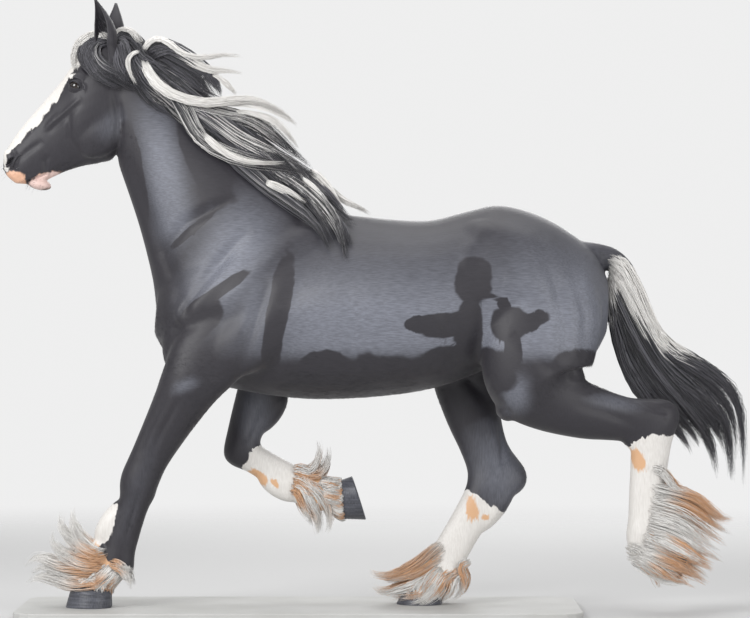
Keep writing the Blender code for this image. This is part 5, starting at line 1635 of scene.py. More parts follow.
@dataclass
class Mane:
    """The mane: under locks from the poll to the withers that lie on the neck, and the flying ones."""

    near: int = 62
    off: int = 34
    steps: int = 10
    # How far each layer falls, from flying to hanging
    layers: tuple[float, ...] = (0.98, 0.82, 0.62, 0.4)
    lay: float = 0.005
    step: float = 0.009
    strands: int = 34
    seed: int = 41

    def under(self, tree: BVHTree) -> list[Tress]:
        """Plans the locks that lie on the neck.

        Args:
            tree: the skin without its ears.

        Returns:
            The locks of both sides.
        """
        rng = np.random.default_rng(self.seed)
        made, last = [], self.steps - 1
        plan = [(Side.NEAR, (i / (self.near - 1)) ** 1.1) for i in range(self.near)]
        plan += [(Side.OFF, i / (self.off - 1)) for i in range(self.off)]
        for i, (side, share) in enumerate(plan):
            layer = (i * 3 + i // 4) % len(self.layers) if side is Side.NEAR else i % 2
            drop = self.layers[layer] + rng.uniform(-0.08, 0.08)
            lift, fall = blend(MANE_LIFTED, share), blend(MANE_FALLING, share)
            guide = [a.lerp(b, drop) for a, b in zip(lift, fall)]
            reach = rng.uniform(0.74, 1.0) if side is Side.NEAR else rng.uniform(0.5, 0.85)
            curl, turn = rng.uniform(-1, 1) * 0.018, rng.uniform(0, math.pi)
            flat = []
            for k in range(self.steps):
                t = reach * k / last
                spot = bezier(guide, t)
                spot.y += curl * math.sin(2.2 * math.pi * t + turn) * min(1.0, 3 * t)
                flat.append(spot)
            outs = [crest_out(tree, spot.x, spot.y, side) for spot in flat]
            points, normals = [], []
            for k, spot in enumerate(flat):
                along = k / last
                near_by = outs[max(k - 1, 0)], outs[min(k + 1, last)]
                out = max(outs[k], sum(near_by) / 2) + self.lay + self.step * layer * min(1.0, 3 * along)
                if k == 0:
                    spot = spot + Vector((0.01, -0.022))
                    out = 0.006 + 0.006 * rng.uniform(-1, 1) * layer
                points.append(Vector((spot.x, side.value * out, spot.y)))
                normals.append(Vector((0.0, side.value, 0.3 * (1 - drop) + 0.35 * (1 - along))).normalized())
            pale = (0.02, rng.uniform(0.0, 0.35), rng.uniform(0.0, 0.45), 0.1)
            made.append(Tress(points, normals, rng.uniform(0.036, 0.054), 0.022, self.strands,
                              white=pale, wave=0.0045, full=0.6))
        return made

    def over(self, tree: BVHTree) -> list[Tress]:
        """Plans the locks on top.

        Args:
            tree: the skin without its ears.

        Returns:
            The locks.
        """
        rng = np.random.default_rng(self.seed + 1)
        return [
            tress for streak in MANE_STREAKS for tress in lay_streak(streak, tree, Side.NEAR, 33, "neck", rng)
        ]


@dataclass
class Forelock:
    """Hair from between and behind the ears: over the forehead, past the cheek and down the poll."""

    strands: int = 33
    seed: int = 42

    def tresses(self, tree: BVHTree) -> list[Tress]:
        """Plans every lock over the skin.

        Args:
            tree: the skin without its ears.

        Returns:
            The locks of both sides.
        """
        rng = np.random.default_rng(self.seed)
        return [
            tress
            for side in Side
            for streak in POLL_STREAKS + FORELOCK_STREAKS
            for tress in lay_streak(streak, tree, side, self.strands, "head", rng)
        ]


@dataclass
class Tail:
    """The tail's hair: locks all along the dock that keep their own place across the bundle."""

    rows: int = 12
    columns: int = 8
    start: float = 0.06
    spread: float = 0.074
    shift: float = 0.012
    strands: int = 36
    seed: int = 43
    # How long each pointed end is, from the upper edge of the tail to the lower one, and how many across
    ends: tuple[float, ...] = (1.0, 0.93, 1.0, 0.9, 0.98, 0.9, 0.96)
    ends_across: int = 3
    # How far down a lock is white, a painted highlight, by its place from the upper edge of the tail to
    # the lower one
    painted_highlight_ends: tuple[Point2, ...] = (
        (0.0, 0.57), (0.15, 0.54), (0.24, 0.46), (0.33, 0.27),
        (0.38, 0.34), (0.44, 0.42), (0.5, 0.26), (0.6, 0.06),
    )

    def tresses(self) -> list[Tress]:
        """Plans every lock.

        Returns:
            The locks from the top of the dock to its underside.
        """
        rng = np.random.default_rng(self.seed)
        made = []
        for row in range(self.rows):
            for column in range(self.columns):
                mix = (row + rng.uniform(0.1, 0.9)) / self.rows
                out = 2 * (column + rng.uniform(0.15, 0.85)) / self.columns - 1
                guide = blend(TAIL_GUIDES, mix)
                group = int(mix * len(self.ends))
                gather = (group + 0.5) / len(self.ends)
                row_out = int((out + 1) / 2 * self.ends_across)
                gather_out = (2 * row_out + 1) / self.ends_across - 1
                aside = abs(mix - gather) * 2 * len(self.ends)
                reach = self.ends[group] * (1.0 - 0.05 * abs(out) - 0.15 * aside**1.3 * rng.uniform(0.6, 1))
                root = blend([[p] for p in DOCK_LINE], mix)[0]
                wave = rng.uniform(-1, 1) * 0.012
                points, normals = [], []
                for k in range(12):
                    along = k / 11
                    t = self.start + (reach - self.start) * along**0.9
                    pull = float(smoothstep(along, 0.5, 1.0))
                    if pull:
                        guide = blend(TAIL_GUIDES, mix + (gather - mix) * 0.85 * pull)
                    spot = along_curve(guide, t) if k else root.lerp(along_curve(guide, t), 0.75)
                    spot.y += wave * math.sin(3 * math.pi * along)
                    spread = 0.018 + self.spread * math.sin(math.pi * min(1.0, 0.12 + 0.75 * t))
                    y = spread * (out + (gather_out - out) * 0.7 * pull) + self.shift * min(1.0, 2 * along)
                    points.append(Vector((spot.x, y, spot.y)))
                    normals.append(Vector((0.2 - 0.4 * mix, out or 0.3, 0.6 - 1.2 * mix)).normalized())
                made.append(
                    Tress(points, normals, rng.uniform(0.036, 0.05), 0.026, self.strands,
                          white=self.painted_highlight_white(mix, rng), part="tail", root=0.7, wave=0.005, full=0.8)
                )
        return made

    def painted_highlight_white(self, mix: float, rng: Rng) -> tuple[float, ...]:
        """Colours a lock: white as a painted highlight from the dock to an edge that jumps, then black.

        Args:
            mix: its place from the upper edge of the tail to the lower one.
            rng: the tail's random draws.

        Returns:
            How white it is along its length.
        """
        end = float(np.interp(mix, *zip(*self.painted_highlight_ends))) * rng.uniform(0.92, 1.06)
        # A narrow band of locks also takes the painted highlight part way down
        streak = 0.24 < mix < 0.31
        places = np.linspace(0, 1, 24)
        pale = np.where(places < end, 1.0, 0.04 + 0.22 * (mix > 0.5) * (1 - places))
        return tuple(np.where(streak & (places > 0.48) & (places < 0.76), 0.9, pale))


@dataclass
class Feather:
    """The long silky hair of one lower leg: listed plumes, and rings of locks round the foot."""

    leg: Leg
    tan: tuple[float, ...]
    tanned: float
    fall: float = 1.0
    count: int = 34
    strands: int = 26
    # Each ring's levels: metres above the top of the hoof, and the share of the hoof's own outline
    skirt: tuple[Point2, ...] = ((0.08, 0.58), (0.042, 0.8), (0.004, 0.98), (-0.026, 1.0), (-0.052, 1.0))
    cuff: tuple[Point2, ...] = ((0.118, 0.52), (0.09, 0.76), (0.055, 0.9), (0.02, 1.01), (-0.012, 1.08))

    def across(self, trees: Sequence[BVHTree], spot: Vector, way: int) -> float:
        """How far the flesh reaches from the leg's middle at a place seen from the side.

        Args:
            trees: the skin and the hoof.
            spot: the place as (x, z).
            way: 1 for the leg's outer side, -1 for its inner one.

        Returns:
            The distance in metres, 0 beside the leg.
        """
        side, middle = self.leg.side.value, self.leg.spread[-1]
        start = Vector((spot.x, side * (middle + way * 0.2), spot.y))
        hits = [tree.ray_cast(start, Vector((0.0, -way * side, 0.0)), 0.2)[0] for tree in trees]
        return max([way * (side * hit.y - middle) for hit in hits if hit] + [0.0])

    def plume(self, plume: Plume, trees: Sequence[BVHTree], rng: Rng) -> Iterable[Tress]:
        """Lays the locks of one plume.

        Args:
            plume: the plume.
            trees: the skin and the hoof, which the locks stay outside.
            rng: the leg's random draws.

        Yields:
            One tress for each lock, from the leg's inner side to its outer one.
        """
        line, steps = [Vector(p) for p in plume.points], 9
        side, middle = self.leg.side.value, self.leg.spread[-1]
        for copy in range(plume.copies):
            inner, outer = plume.between
            place = inner + (outer - inner) * (copy + rng.uniform(0.2, 0.8)) / plume.copies
            way = 1 if place > 0 else -1
            share = abs(place) ** 0.6
            reach = rng.uniform(0.8, 1.0) * (1.04 - 0.1 * share)
            shift, bow = rng.uniform(-0.4, 0.4) * plume.width, rng.uniform(-1, 1) * 0.008
            spots, outs = [], []
            for k in range(steps):
                along = k / (steps - 1)
                spot = along_curve(line, min(1.0, reach * along))
                square = square_to(line, reach * along, 0.06)
                spots.append(spot + square * (shift * (1 - along * along) + bow * math.sin(math.pi * along)))
                free = (plume.spread[0] + (plume.spread[1] - plume.spread[0]) * along) * share
                flesh = self.across(trees, spots[-1], way) + 0.005 if share > 0.55 else 0.0
                outs.append(max(free, flesh))
            outs = raised(np.array(outs), 2)
            outs[0] -= 0.014
            lift = 0.01 * rng.uniform(0, 1)
            points = [
                Vector((spot.x, side * (middle + way * (out + lift * k / (steps - 1))), spot.y))
                for k, (spot, out) in enumerate(zip(spots, outs))
            ]
            normals = [Vector((0.0, side * way, 0.35 - 0.5 * k / steps)).normalized() for k in range(steps)]
            tan = self.tan if rng.uniform() < self.tanned else tuple(0.15 * t for t in self.tan)
            yield Tress(points, normals, plume.width * rng.uniform(0.8, 1.1), 0.022, self.strands,
                        white=(1.0,), tan=tan, part=self.leg.name,
                        root=0.6, wave=0.005, full=0.55, stagger=0.3)

    def ring(self, levels: Sequence[Point2], furthest: float, rng: Rng) -> Iterable[Tress]:
        """Short broad locks in a ring round the foot that follow the slope of the hoof's top.

        Args:
            levels: the heights and breadths that each lock passes.
            furthest: how far forward the ring reaches, 1 for all the way round.
            rng: the leg's random draws.

        Yields:
            One tress for each lock.
        """
        top, down, front, height = self.leg.hoof_axes()
        run = self.leg.run(len(self.leg.bones) - 1)
        hoof = Hoof(self.leg)
        for i in range(self.count):
            angle = 2 * math.pi * (i + rng.uniform(-0.4, 0.4)) / self.count
            drop = self.fall * rng.uniform(0.55, 1.0)
            if math.cos(angle) > furthest:
                continue
            points, normals = [], []
            for high, scale in levels:
                high = high if high > 0 else high * drop
                share = max(0.0, -high / height)
                forward, out = (part * scale for part in hoof.outline(angle, share, -0.006))
                spot = top - (run if high > 0 else down) * high
                spot = spot + front * forward - down * hoof.slope * forward * (1 - share)
                points.append(Vector((spot.x, self.leg.side.value * self.leg.spread[-1] + out, spot.y)))
                facing = front * math.cos(angle)
                normals.append(Vector((facing.x, math.sin(angle), facing.y)))
            tan = self.tan[::-1] if rng.uniform() < self.tanned * 0.8 else (0.0,)
            yield Tress(points, normals, rng.uniform(0.03, 0.044), 0.012, self.strands - 6,
                        white=(1.0,), tan=tan, part=self.leg.name,
                        root=0.9, wave=0.003, full=0.45, stagger=0.34)

    def tresses(self, trees: Sequence[BVHTree], seed: int) -> list[Tress]:
        """Plans every lock of the leg.

        Args:
            trees: the skin and the hoof.
            seed: the seed of its random draws.

        Returns:
            The locks.
        """
        rng = np.random.default_rng(seed)
        made = [tress for plume in PLUMES[self.leg.name] for tress in self.plume(plume, trees, rng)]
        return made + list(self.ring(self.skirt, 1.0, rng)) + list(self.ring(self.cuff, 0.35, rng))


# Each leg's tan along its locks, how many of them have it, and how far they fall over the hoof
FEATHER_LOOKS = {
    "fore_near": ((1.0, 0.95, 0.5, 0.05, 0.0), 0.95, 0.8),
    "fore_off": ((0.9, 1.0, 0.8, 0.35, 0.1), 0.65, 0.35),
    "hind_near": ((0.0, 0.1, 0.6, 1.0, 0.95, 0.7), 0.75, 1.0),
    "hind_off": ((0.3, 0.8, 1.0, 0.75, 0.3), 0.65, 0.9),
}


class Ground:
    """What long hair keeps clear of: the top of the base, where it is above it, and the floor."""

    def __init__(self) -> None:
        """Finds the base."""
        _, self.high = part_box("stand_base")

    def clear(self, points: Array) -> Array:
        """Lifts each point that lies lower than the base or the floor lets it.

        Args:
            points: the points, which are changed.

        Returns:
            The same points.
        """
        over = (np.abs(points[..., 0]) < self.high.x) & (np.abs(points[..., 1]) < self.high.y)
        floor = np.where(over, self.high.z + 0.002, 0.004)
        points[..., 2] = np.maximum(points[..., 2], floor)
        return points


class Patch(NamedTuple):
    """An oval patch seen from the side: its middle as (x, z), its half axes and its turn in degrees.

    Where below is given, the lower half has that half axis and a firm edge, and the upper half fades.
    The strength is its share at the middle.
    """

    middle: Point2
    radii: Point2
    turn: float = 0.0
    leg: Optional[str] = None
    below: float = 0.0
    strength: float = 1.0

    def share(self, co: Array) -> Array:
        """Finds how much places belong to the patch.

        Args:
            co: the places.

        Returns:
            Their shares, from its strength at the middle down to 0.
        """
        angle = math.radians(self.turn)
        dx, dz = co[:, 0] - self.middle[0], co[:, 2] - self.middle[1]
        along = np.abs(dx * math.cos(angle) + dz * math.sin(angle)) / self.radii[0]
        across = dz * math.cos(angle) - dx * math.sin(angle)
        firm = (across < 0) & (self.below > 0)
        across = np.abs(across) / np.where(firm, self.below or 1.0, self.radii[1])
        fall = np.where(firm, 9.0, 1.5 if self.below else 2.6)
        share = self.strength * np.exp(-(along ** (6.0 if self.below else 2.6)) - across**fall)
        return share * (co[:, 1] * LEGS[self.leg].side.value > -0.03) if self.leg else share


def inside(flat: Array, ring: Sequence[Point2]) -> Array:
    """Measures how far inside a ring of points places lie.

    Args:
        flat: the places as (x, z).
        ring: the ring.

    Returns:
        The metres, below zero outside it.
    """
    pts = np.array(ring)
    best, odd = np.full(len(flat), 1e9), np.zeros(len(flat), bool)
    for a, b in zip(pts, np.roll(pts, -1, 0)):
        run = b - a
        best = np.minimum(best, along_run(flat, a, run)[1])
        crosses = (a[1] > flat[:, 1]) != (b[1] > flat[:, 1])
        odd ^= crosses & (flat[:, 0] < a[0] + (flat[:, 1] - a[1]) * run[0] / (run[1] or 1e-9))
    return np.where(odd, best, -best)


@dataclass
class MarksAndPaintedLight:
    """Where the coat is white, tan or bare pink, or has painted highlight and shade, for skin and fur alike.
    """

    stockings: dict[str, tuple[int, float]] = field(
        default_factory=lambda: {
            "fore_near": (1, 0.52), "fore_off": (1, 0.1), "hind_near": (2, 0.06), "hind_off": (2, 0.25)
        }
    )
    # The near fore is white down the front of its cannon and all over below a line across the fetlock
    sock: tuple[Point2, ...] = (
        (-0.808, 0.512), (-0.783, 0.469), (-0.785, 0.383), (-0.808, 0.301), (-0.864, 0.284), (-0.778, 0.202),
        (-0.722, 0.206), (-0.66, -0.05), (-1.2, -0.05), (-1.2, 0.5),
    )
    blaze: tuple[tuple[Point2, float], ...] = (
        ((-0.93, 2.395), 0.016), ((-1.0, 2.3), 0.023), ((-1.1, 2.165), 0.034),
        ((-1.213, 2.038), 0.027), ((-1.27, 1.965), 0.016), ((-1.262, 1.9), 0.009),
    )
    tans: tuple[Patch, ...] = (
        Patch((-0.862, 0.206), (0.095, 0.09), 0.0, "fore_near"),
        Patch((-0.185, 0.572), (0.05, 0.026), -37.0, "fore_off"),
        Patch((-0.11, 0.545), (0.026, 0.012), -50.0, "fore_off"),
        Patch((0.056, 0.503), (0.07, 0.1), 0.0, "fore_off"),
        Patch((0.74, 0.43), (0.026, 0.058), 8.0, "hind_off"),
        Patch((0.802, 0.398), (0.018, 0.015), 0.0, "hind_off"),
        Patch((0.545, 0.105), (0.18, 0.06), 0.0, "hind_off"),
        Patch((1.436, 0.658), (0.03, 0.056), 20.0, "hind_near"),
        Patch((1.56, 0.18), (0.12, 0.06), -10.0, "hind_near"),
    )
    # The bare skin of the lips: peach above the mouth's line, pale pink below it
    lips: tuple[Patch, ...] = (
        Patch((-1.222, 1.853), (0.047, 0.036), 0.0), Patch((-1.092, 1.848), (0.076, 0.034), 18.0),
    )
    # Painted highlight: grey laid on the black where light falls on the trunk, shoulder, neck, cheek and legs
    painted_highlight_patches: tuple[Patch, ...] = (
        Patch((0.66, 1.275), (0.88, 0.212), 0.0, None, 0.185),
        Patch((1.08, 1.35), (0.24, 0.22), 0.0, None, 0.24, 0.85),
        Patch((-0.29, 1.505), (0.145, 0.25), -26.0),
        Patch((-0.195, 1.31), (0.06, 0.19), -6.0, None, 0.0, 0.65),
        Patch((-0.575, 1.88), (0.085, 0.29), 12.0, None, 0.0, 0.9),
        Patch((-0.535, 1.69), (0.085, 0.11), 6.0, None, 0.0, 0.8),
        Patch((-0.8, 2.085), (0.085, 0.055), 38.0, None, 0.0, 0.32),
        Patch((-0.685, 0.54), (0.045, 0.26), -20.0, "fore_near", 0.0, 0.16),
        Patch((-0.48, 0.975), (0.055, 0.026), 20.0, None, 0.0, 0.6),
        Patch((0.912, 0.94), (0.06, 0.08), 0.0, None, 0.0, 0.75),
        Patch((1.33, 0.905), (0.11, 0.034), -10.0, "hind_near", 0.0, 0.45),
        Patch((-0.195, 0.834), (0.07, 0.13), 0.0, "fore_off", 0.0, 0.5),
        Patch((0.86, 0.62), (0.12, 0.2), 10.0, "hind_off", 0.0, 0.62),
    )
    # Painted shade: black again inside the painted highlight, with firm edges, where hollows and the belly
    # lie in shade
    painted_shade_patches: tuple[Patch, ...] = (
        Patch((0.74, 1.423), (0.086, 0.11), -8.0),
        Patch((0.722, 1.21), (0.062, 0.15)),
        Patch((0.6, 1.232), (0.1, 0.06), 4.0),
        Patch((0.515, 1.24), (0.08, 0.032), 8.0),
        Patch((0.888, 1.235), (0.082, 0.08)),
        Patch((0.868, 1.31), (0.026, 0.05), 12.0),
        Patch((0.905, 1.13), (0.04, 0.09)),
        Patch((0.975, 1.245), (0.095, 0.04), 26.0),
        Patch((0.38, 0.93), (0.52, 0.19)),
        Patch((0.11, 1.06), (0.1, 0.075)),
        Patch((0.62, 1.065), (0.11, 0.085)),
        Patch((0.74, 1.03), (0.2, 0.115)),
        Patch((1.2, 1.03), (0.16, 0.112)),
        Patch((-0.086, 1.29), (0.052, 0.3), -10.0),
        Patch((-0.353, 1.363), (0.21, 0.03), 34.0),
        Patch((-0.455, 1.635), (0.15, 0.02), 40.0),
        Patch((-0.44, 1.23), (0.15, 0.075), 38.0),
        Patch((-0.705, 1.85), (0.05, 0.28), 8.0),
        Patch((-0.4, 1.93), (0.085, 0.24), 27.0),
    )

    def leg_field(self, leg: Leg, co: Array) -> tuple[Array, Array]:
        """Measures places from a leg.

        Args:
            leg: the leg.
            co: the places.

        Returns:
            Their distances down it, and from its middle line.
        """
        best, down = np.full(len(co), 1e9), np.zeros(len(co))
        total = 0.0
        for bone, length in enumerate(leg.bones):
            start = leg.place(bone, 0.0)
            run = np.array(leg.place(bone, 1.0) - start)
            # The last bone's line runs on through the hoof
            end = 2.0 if bone == len(leg.bones) - 1 else 1.0
            t, distance = along_run(co, np.array(start), run, end)
            closer = distance < best
            best[closer] = distance[closer]
            down[closer] = total + t[closer] * length
            total += length
        return down, best

    def fields(self, co: Array) -> dict[str, Array]:
        """Every marking's field, and those of the painted highlight and the painted shade.

        Args:
            co: places on the skin.

        Returns:
            white as metres inside its edge; tan, pink, the painted highlight and the painted shade from 0 to
            1.
        """
        white = np.full(len(co), -1.0)
        for name, (bone, along) in self.stockings.items():
            leg = LEGS[name]
            down, away = self.leg_field(leg, co)
            start = sum(leg.bones[:bone]) + leg.bones[bone] * along
            mine = (away < 0.22) & (co[:, 1] * leg.side.value > -0.02)
            here = np.where(mine, down - start, -1.0)
            if name == "fore_near":
                here = np.where(here > -1.0, inside(co[:, (0, 2)], self.sock), -1.0)
            white = np.maximum(white, here)
        head = (co[:, 0] < -0.86) & (co[:, 2] > 1.78)
        line = np.array([p for p, _ in self.blaze])
        widths = np.array([w for _, w in self.blaze])
        flat = co[:, (0, 2)]
        for i in range(len(line) - 1):
            t, distance = along_run(flat, line[i], line[i + 1] - line[i])
            depth = widths[i] + (widths[i + 1] - widths[i]) * t - distance
            white = np.where(head, np.maximum(white, depth), white)
        # The painted highlight and the painted shade are shares like the tan; shade is where the black comes
        # back inside the highlight
        groups = self.tans, self.painted_highlight_patches, self.painted_shade_patches
        tan, slate, shade = (np.max([patch.share(co) for patch in group], 0) for group in groups)
        pink = [patch.share(co) * head for patch in self.lips]
        return {"white": white, "tan": tan, "pink": np.max(pink, 0), "pale": pink[1], "slate": slate,
                "shade": shade}

    def mark(self, mesh: Mesh, co: Optional[Array] = None) -> None:
        """Stores every field on a mesh.

        Args:
            mesh: the mesh.
            co: the place that each of its points stands for, if not its own.
        """
        co = points_of(mesh) if co is None else co
        for name, values in self.fields(co).items():
            if name in mesh.attributes:
                mesh.attributes.remove(mesh.attributes[name])
            set_attribute(mesh, name, values)
        for name in ("legs", "head"):
            set_attribute(mesh, name, Flesh.shares(co)[name])


@dataclass
class Coat:
    """Short tufts that lie along the body, only where the coat breaks the form and longest there."""

    tufts: int = 23000
    length: float = 0.0135
    half_width: float = 0.0008
    lowest: float = 0.15
    seed: int = 45
    # Where the coat breaks the form: a place as (x, z), a radius and how many times longer than the rest
    zones: tuple[tuple[Point2, float, float], ...] = (
        ((-0.86, 1.95), 0.07, 1.2), ((-0.97, 1.91), 0.045, 0.9), ((-0.76, 2.0), 0.08, 1.6),
        ((-0.62, 1.25), 0.1, 1.1), ((-0.55, 1.07), 0.1, 1.5), ((-0.4, 1.0), 0.1, 1.5),
        ((-0.43, 0.82), 0.07, 1.1), ((-0.06, 0.98), 0.09, 1.4), ((-0.02, 0.8), 0.06, 1.1),
        ((0.05, 0.93), 0.11, 1.4), ((0.22, 0.915), 0.11, 1.3), ((0.42, 0.93), 0.11, 1.3),
        ((0.6, 0.965), 0.1, 1.5), ((0.74, 1.02), 0.09, 1.7), ((1.24, 1.1), 0.12, 1.4),
        ((1.24, 1.3), 0.09, 1.1), ((1.32, 0.95), 0.08, 1.1), ((1.55, 0.86), 0.055, 1.3),
        ((1.04, 0.95), 0.08, 1.2), ((0.98, 0.6), 0.055, 1.2), ((-0.83, 2.44), 0.05, 1.1),
        ((-0.86, 2.56), 0.05, 0.6), ((1.28, 1.54), 0.07, 1.5), ((-0.62, 0.62), 0.045, 0.9),
        ((-0.72, 0.4), 0.045, 1.0), ((-0.02, 0.56), 0.045, 1.0), ((1.53, 0.62), 0.045, 1.0),
        ((0.88, 0.42), 0.045, 1.0),
    )

    @staticmethod
    def lie(co: Array) -> Array:
        """Finds the way that the coat lies.

        Args:
            co: places on the skin.

        Returns:
            The way at each place, not yet laid into the surface.
        """
        shares = Flesh.shares(co)
        neck = smoothstep(-co[:, 0], 0.1, 0.5) * smoothstep(co[:, 2], 1.3, 1.6)
        nose = smoothstep(-co[:, 0] - 0.9 * (co[:, 2] - 2.25), 0.93, 1.02)
        trunk = mixed(LIES["barrel"], LIES["croup"], smoothstep(co[:, 0], 0.7, 1.2))
        trunk, head = mixed(trunk, LIES["neck"], neck), mixed(LIES["cheek"], LIES["nose"], nose)
        legs = np.zeros((len(co), 3))
        for leg in LEGS.values():
            side = co[:, 1] * leg.side.value > 0
            best = np.full(len(co), 1e9)
            for bone in range(len(leg.bones)):
                start, end = leg.place(bone, 0.0), leg.place(bone, 1.0)
                run = np.array(end - start)
                distance = along_run(co, np.array(start), run)[1]
                closer = side & (distance < best) & (distance < 0.3)
                best[closer] = distance[closer]
                legs[closer] = run / np.linalg.norm(run)
        parts = (("trunk", trunk), ("head", head), ("legs", legs))
        return sum(way * shares[name][:, None] for name, way in parts)

    @staticmethod
    def part(co: Array) -> Array:
        """Finds the parts of the unwrap that places are on.

        Args:
            co: the places.

        Returns:
            The parts' names.
        """
        names = np.full(len(co), "trunk", dtype=object)
        for name, front, low in (("neck", -0.1, 1.5), ("head", -0.74, 1.8)):
            names[(co[:, 0] < front) & (co[:, 2] > low)] = name
        for leg in LEGS.values():
            knee = leg.place(1, 0.0)
            mine = (co[:, 2] < 0.94) & (co[:, 1] * leg.side.value > 0)
            names[mine & ((co[:, 0] < 0.3) == (knee.x < 0.3))] = leg.name
        return names

    def build(self, skin: Object, marks_and_painted_light: MarksAndPaintedLight) -> Object:
        """Scatters the tufts over the skin.

        Args:
            skin: the finished skin.
            marks_and_painted_light: its marks with their painted highlight and shade, which the tufts carry
                as well.

        Returns:
            The tufts as one object.
        """
        rng = np.random.default_rng(self.seed)
        mesh = skin.data
        mesh.calc_loop_triangles()
        corners = np.empty(len(mesh.loop_triangles) * 3, np.int32)
        mesh.loop_triangles.foreach_get("vertices", corners)
        corners = corners.reshape(-1, 3)
        co, normals = points_of(mesh), points_of(mesh, "normal")
        a, b, c = (co[corners[:, i]] for i in range(3))
        middle = (a + b + c) / 3
        area = np.linalg.norm(np.cross(b - a, c - a), axis=1)
        # Nothing grows at the eyes and nostrils, round the hooves and on the lips
        for place, bare in ((FACE.eye, 0.04), (FACE.nostril, 0.03)):
            for side in Side:
                away = middle - np.array(mirrored(place, side))
                area[np.linalg.norm(away, axis=1) < bare] = 0
        area[middle[:, 2] < self.lowest] = 0
        lips = middle[:, 0] + 0.4 * (middle[:, 2] - 1.9) < -1.06
        area *= ~(lips & (middle[:, 2] > 1.75))
        dense = np.zeros(len(middle))
        for (x, z), radius, _ in self.zones:
            dense += np.exp(-((np.hypot(middle[:, 0] - x, middle[:, 2] - z) / radius) ** 2))
        area *= np.minimum(dense, 1.0)
        picks = rng.choice(len(corners), self.tufts, p=area / area.sum())
        mix = rng.dirichlet((1, 1, 1), self.tufts)[..., None]
        spots = (co[corners[picks]] * mix).sum(1)
        facing = unit((normals[corners[picks]] * mix).sum(1))
        along = self.lie(spots) + rng.normal(0, 0.1, (self.tufts, 3))
        along = unit(along - facing * (along * facing).sum(1)[:, None])
        length = np.zeros(self.tufts)
        for (x, z), radius, times in self.zones:
            near = np.exp(-((np.hypot(spots[:, 0] - x, spots[:, 2] - z) / radius) ** 2))
            length = np.maximum(length, self.length * (0.6 + (times - 0.6) * near))
        length *= rng.uniform(0.7, 1.3, self.tufts)
        steps, rises = (-0.1, 1.0), (-0.0008, 0.0021)
        place = np.stack(
            [spots + along * (length * s)[:, None] + facing * (r * rng.uniform(0.7, 1.5, self.tufts))[:, None]
             for s, r in zip(steps, rises)], 1)
        side = np.cross(facing, along)
        piece = HairPiece("coat_tufts", rings=2)
        faces = piece.template()
        radius = self.half_width * np.array((1.0, 0.12))[None, :] * rng.uniform(0.7, 1.3, self.tufts)[:, None]
        shape = piece.corners
        points = place[:, :, None, :] + radius[..., None, None] * (
            shape[None, None, :, 0, None] * side[:, None, None, :]
            + shape[None, None, :, 1, None] * 0.45 * facing[:, None, None, :]
        )
        made = piece.gather(points, faces, spots, self.part(spots))
        lean = facing + side * rng.normal(0, 0.07, (self.tufts, 1))
        lean += along * rng.normal(0.02, 0.05, (self.tufts, 1))
        made.data.normals_split_custom_set_from_vertices(np.repeat(unit(lean), 6, axis=0).tolist())
        marks_and_painted_light.mark(made.data, np.repeat(spots, 6, axis=0))
        return made


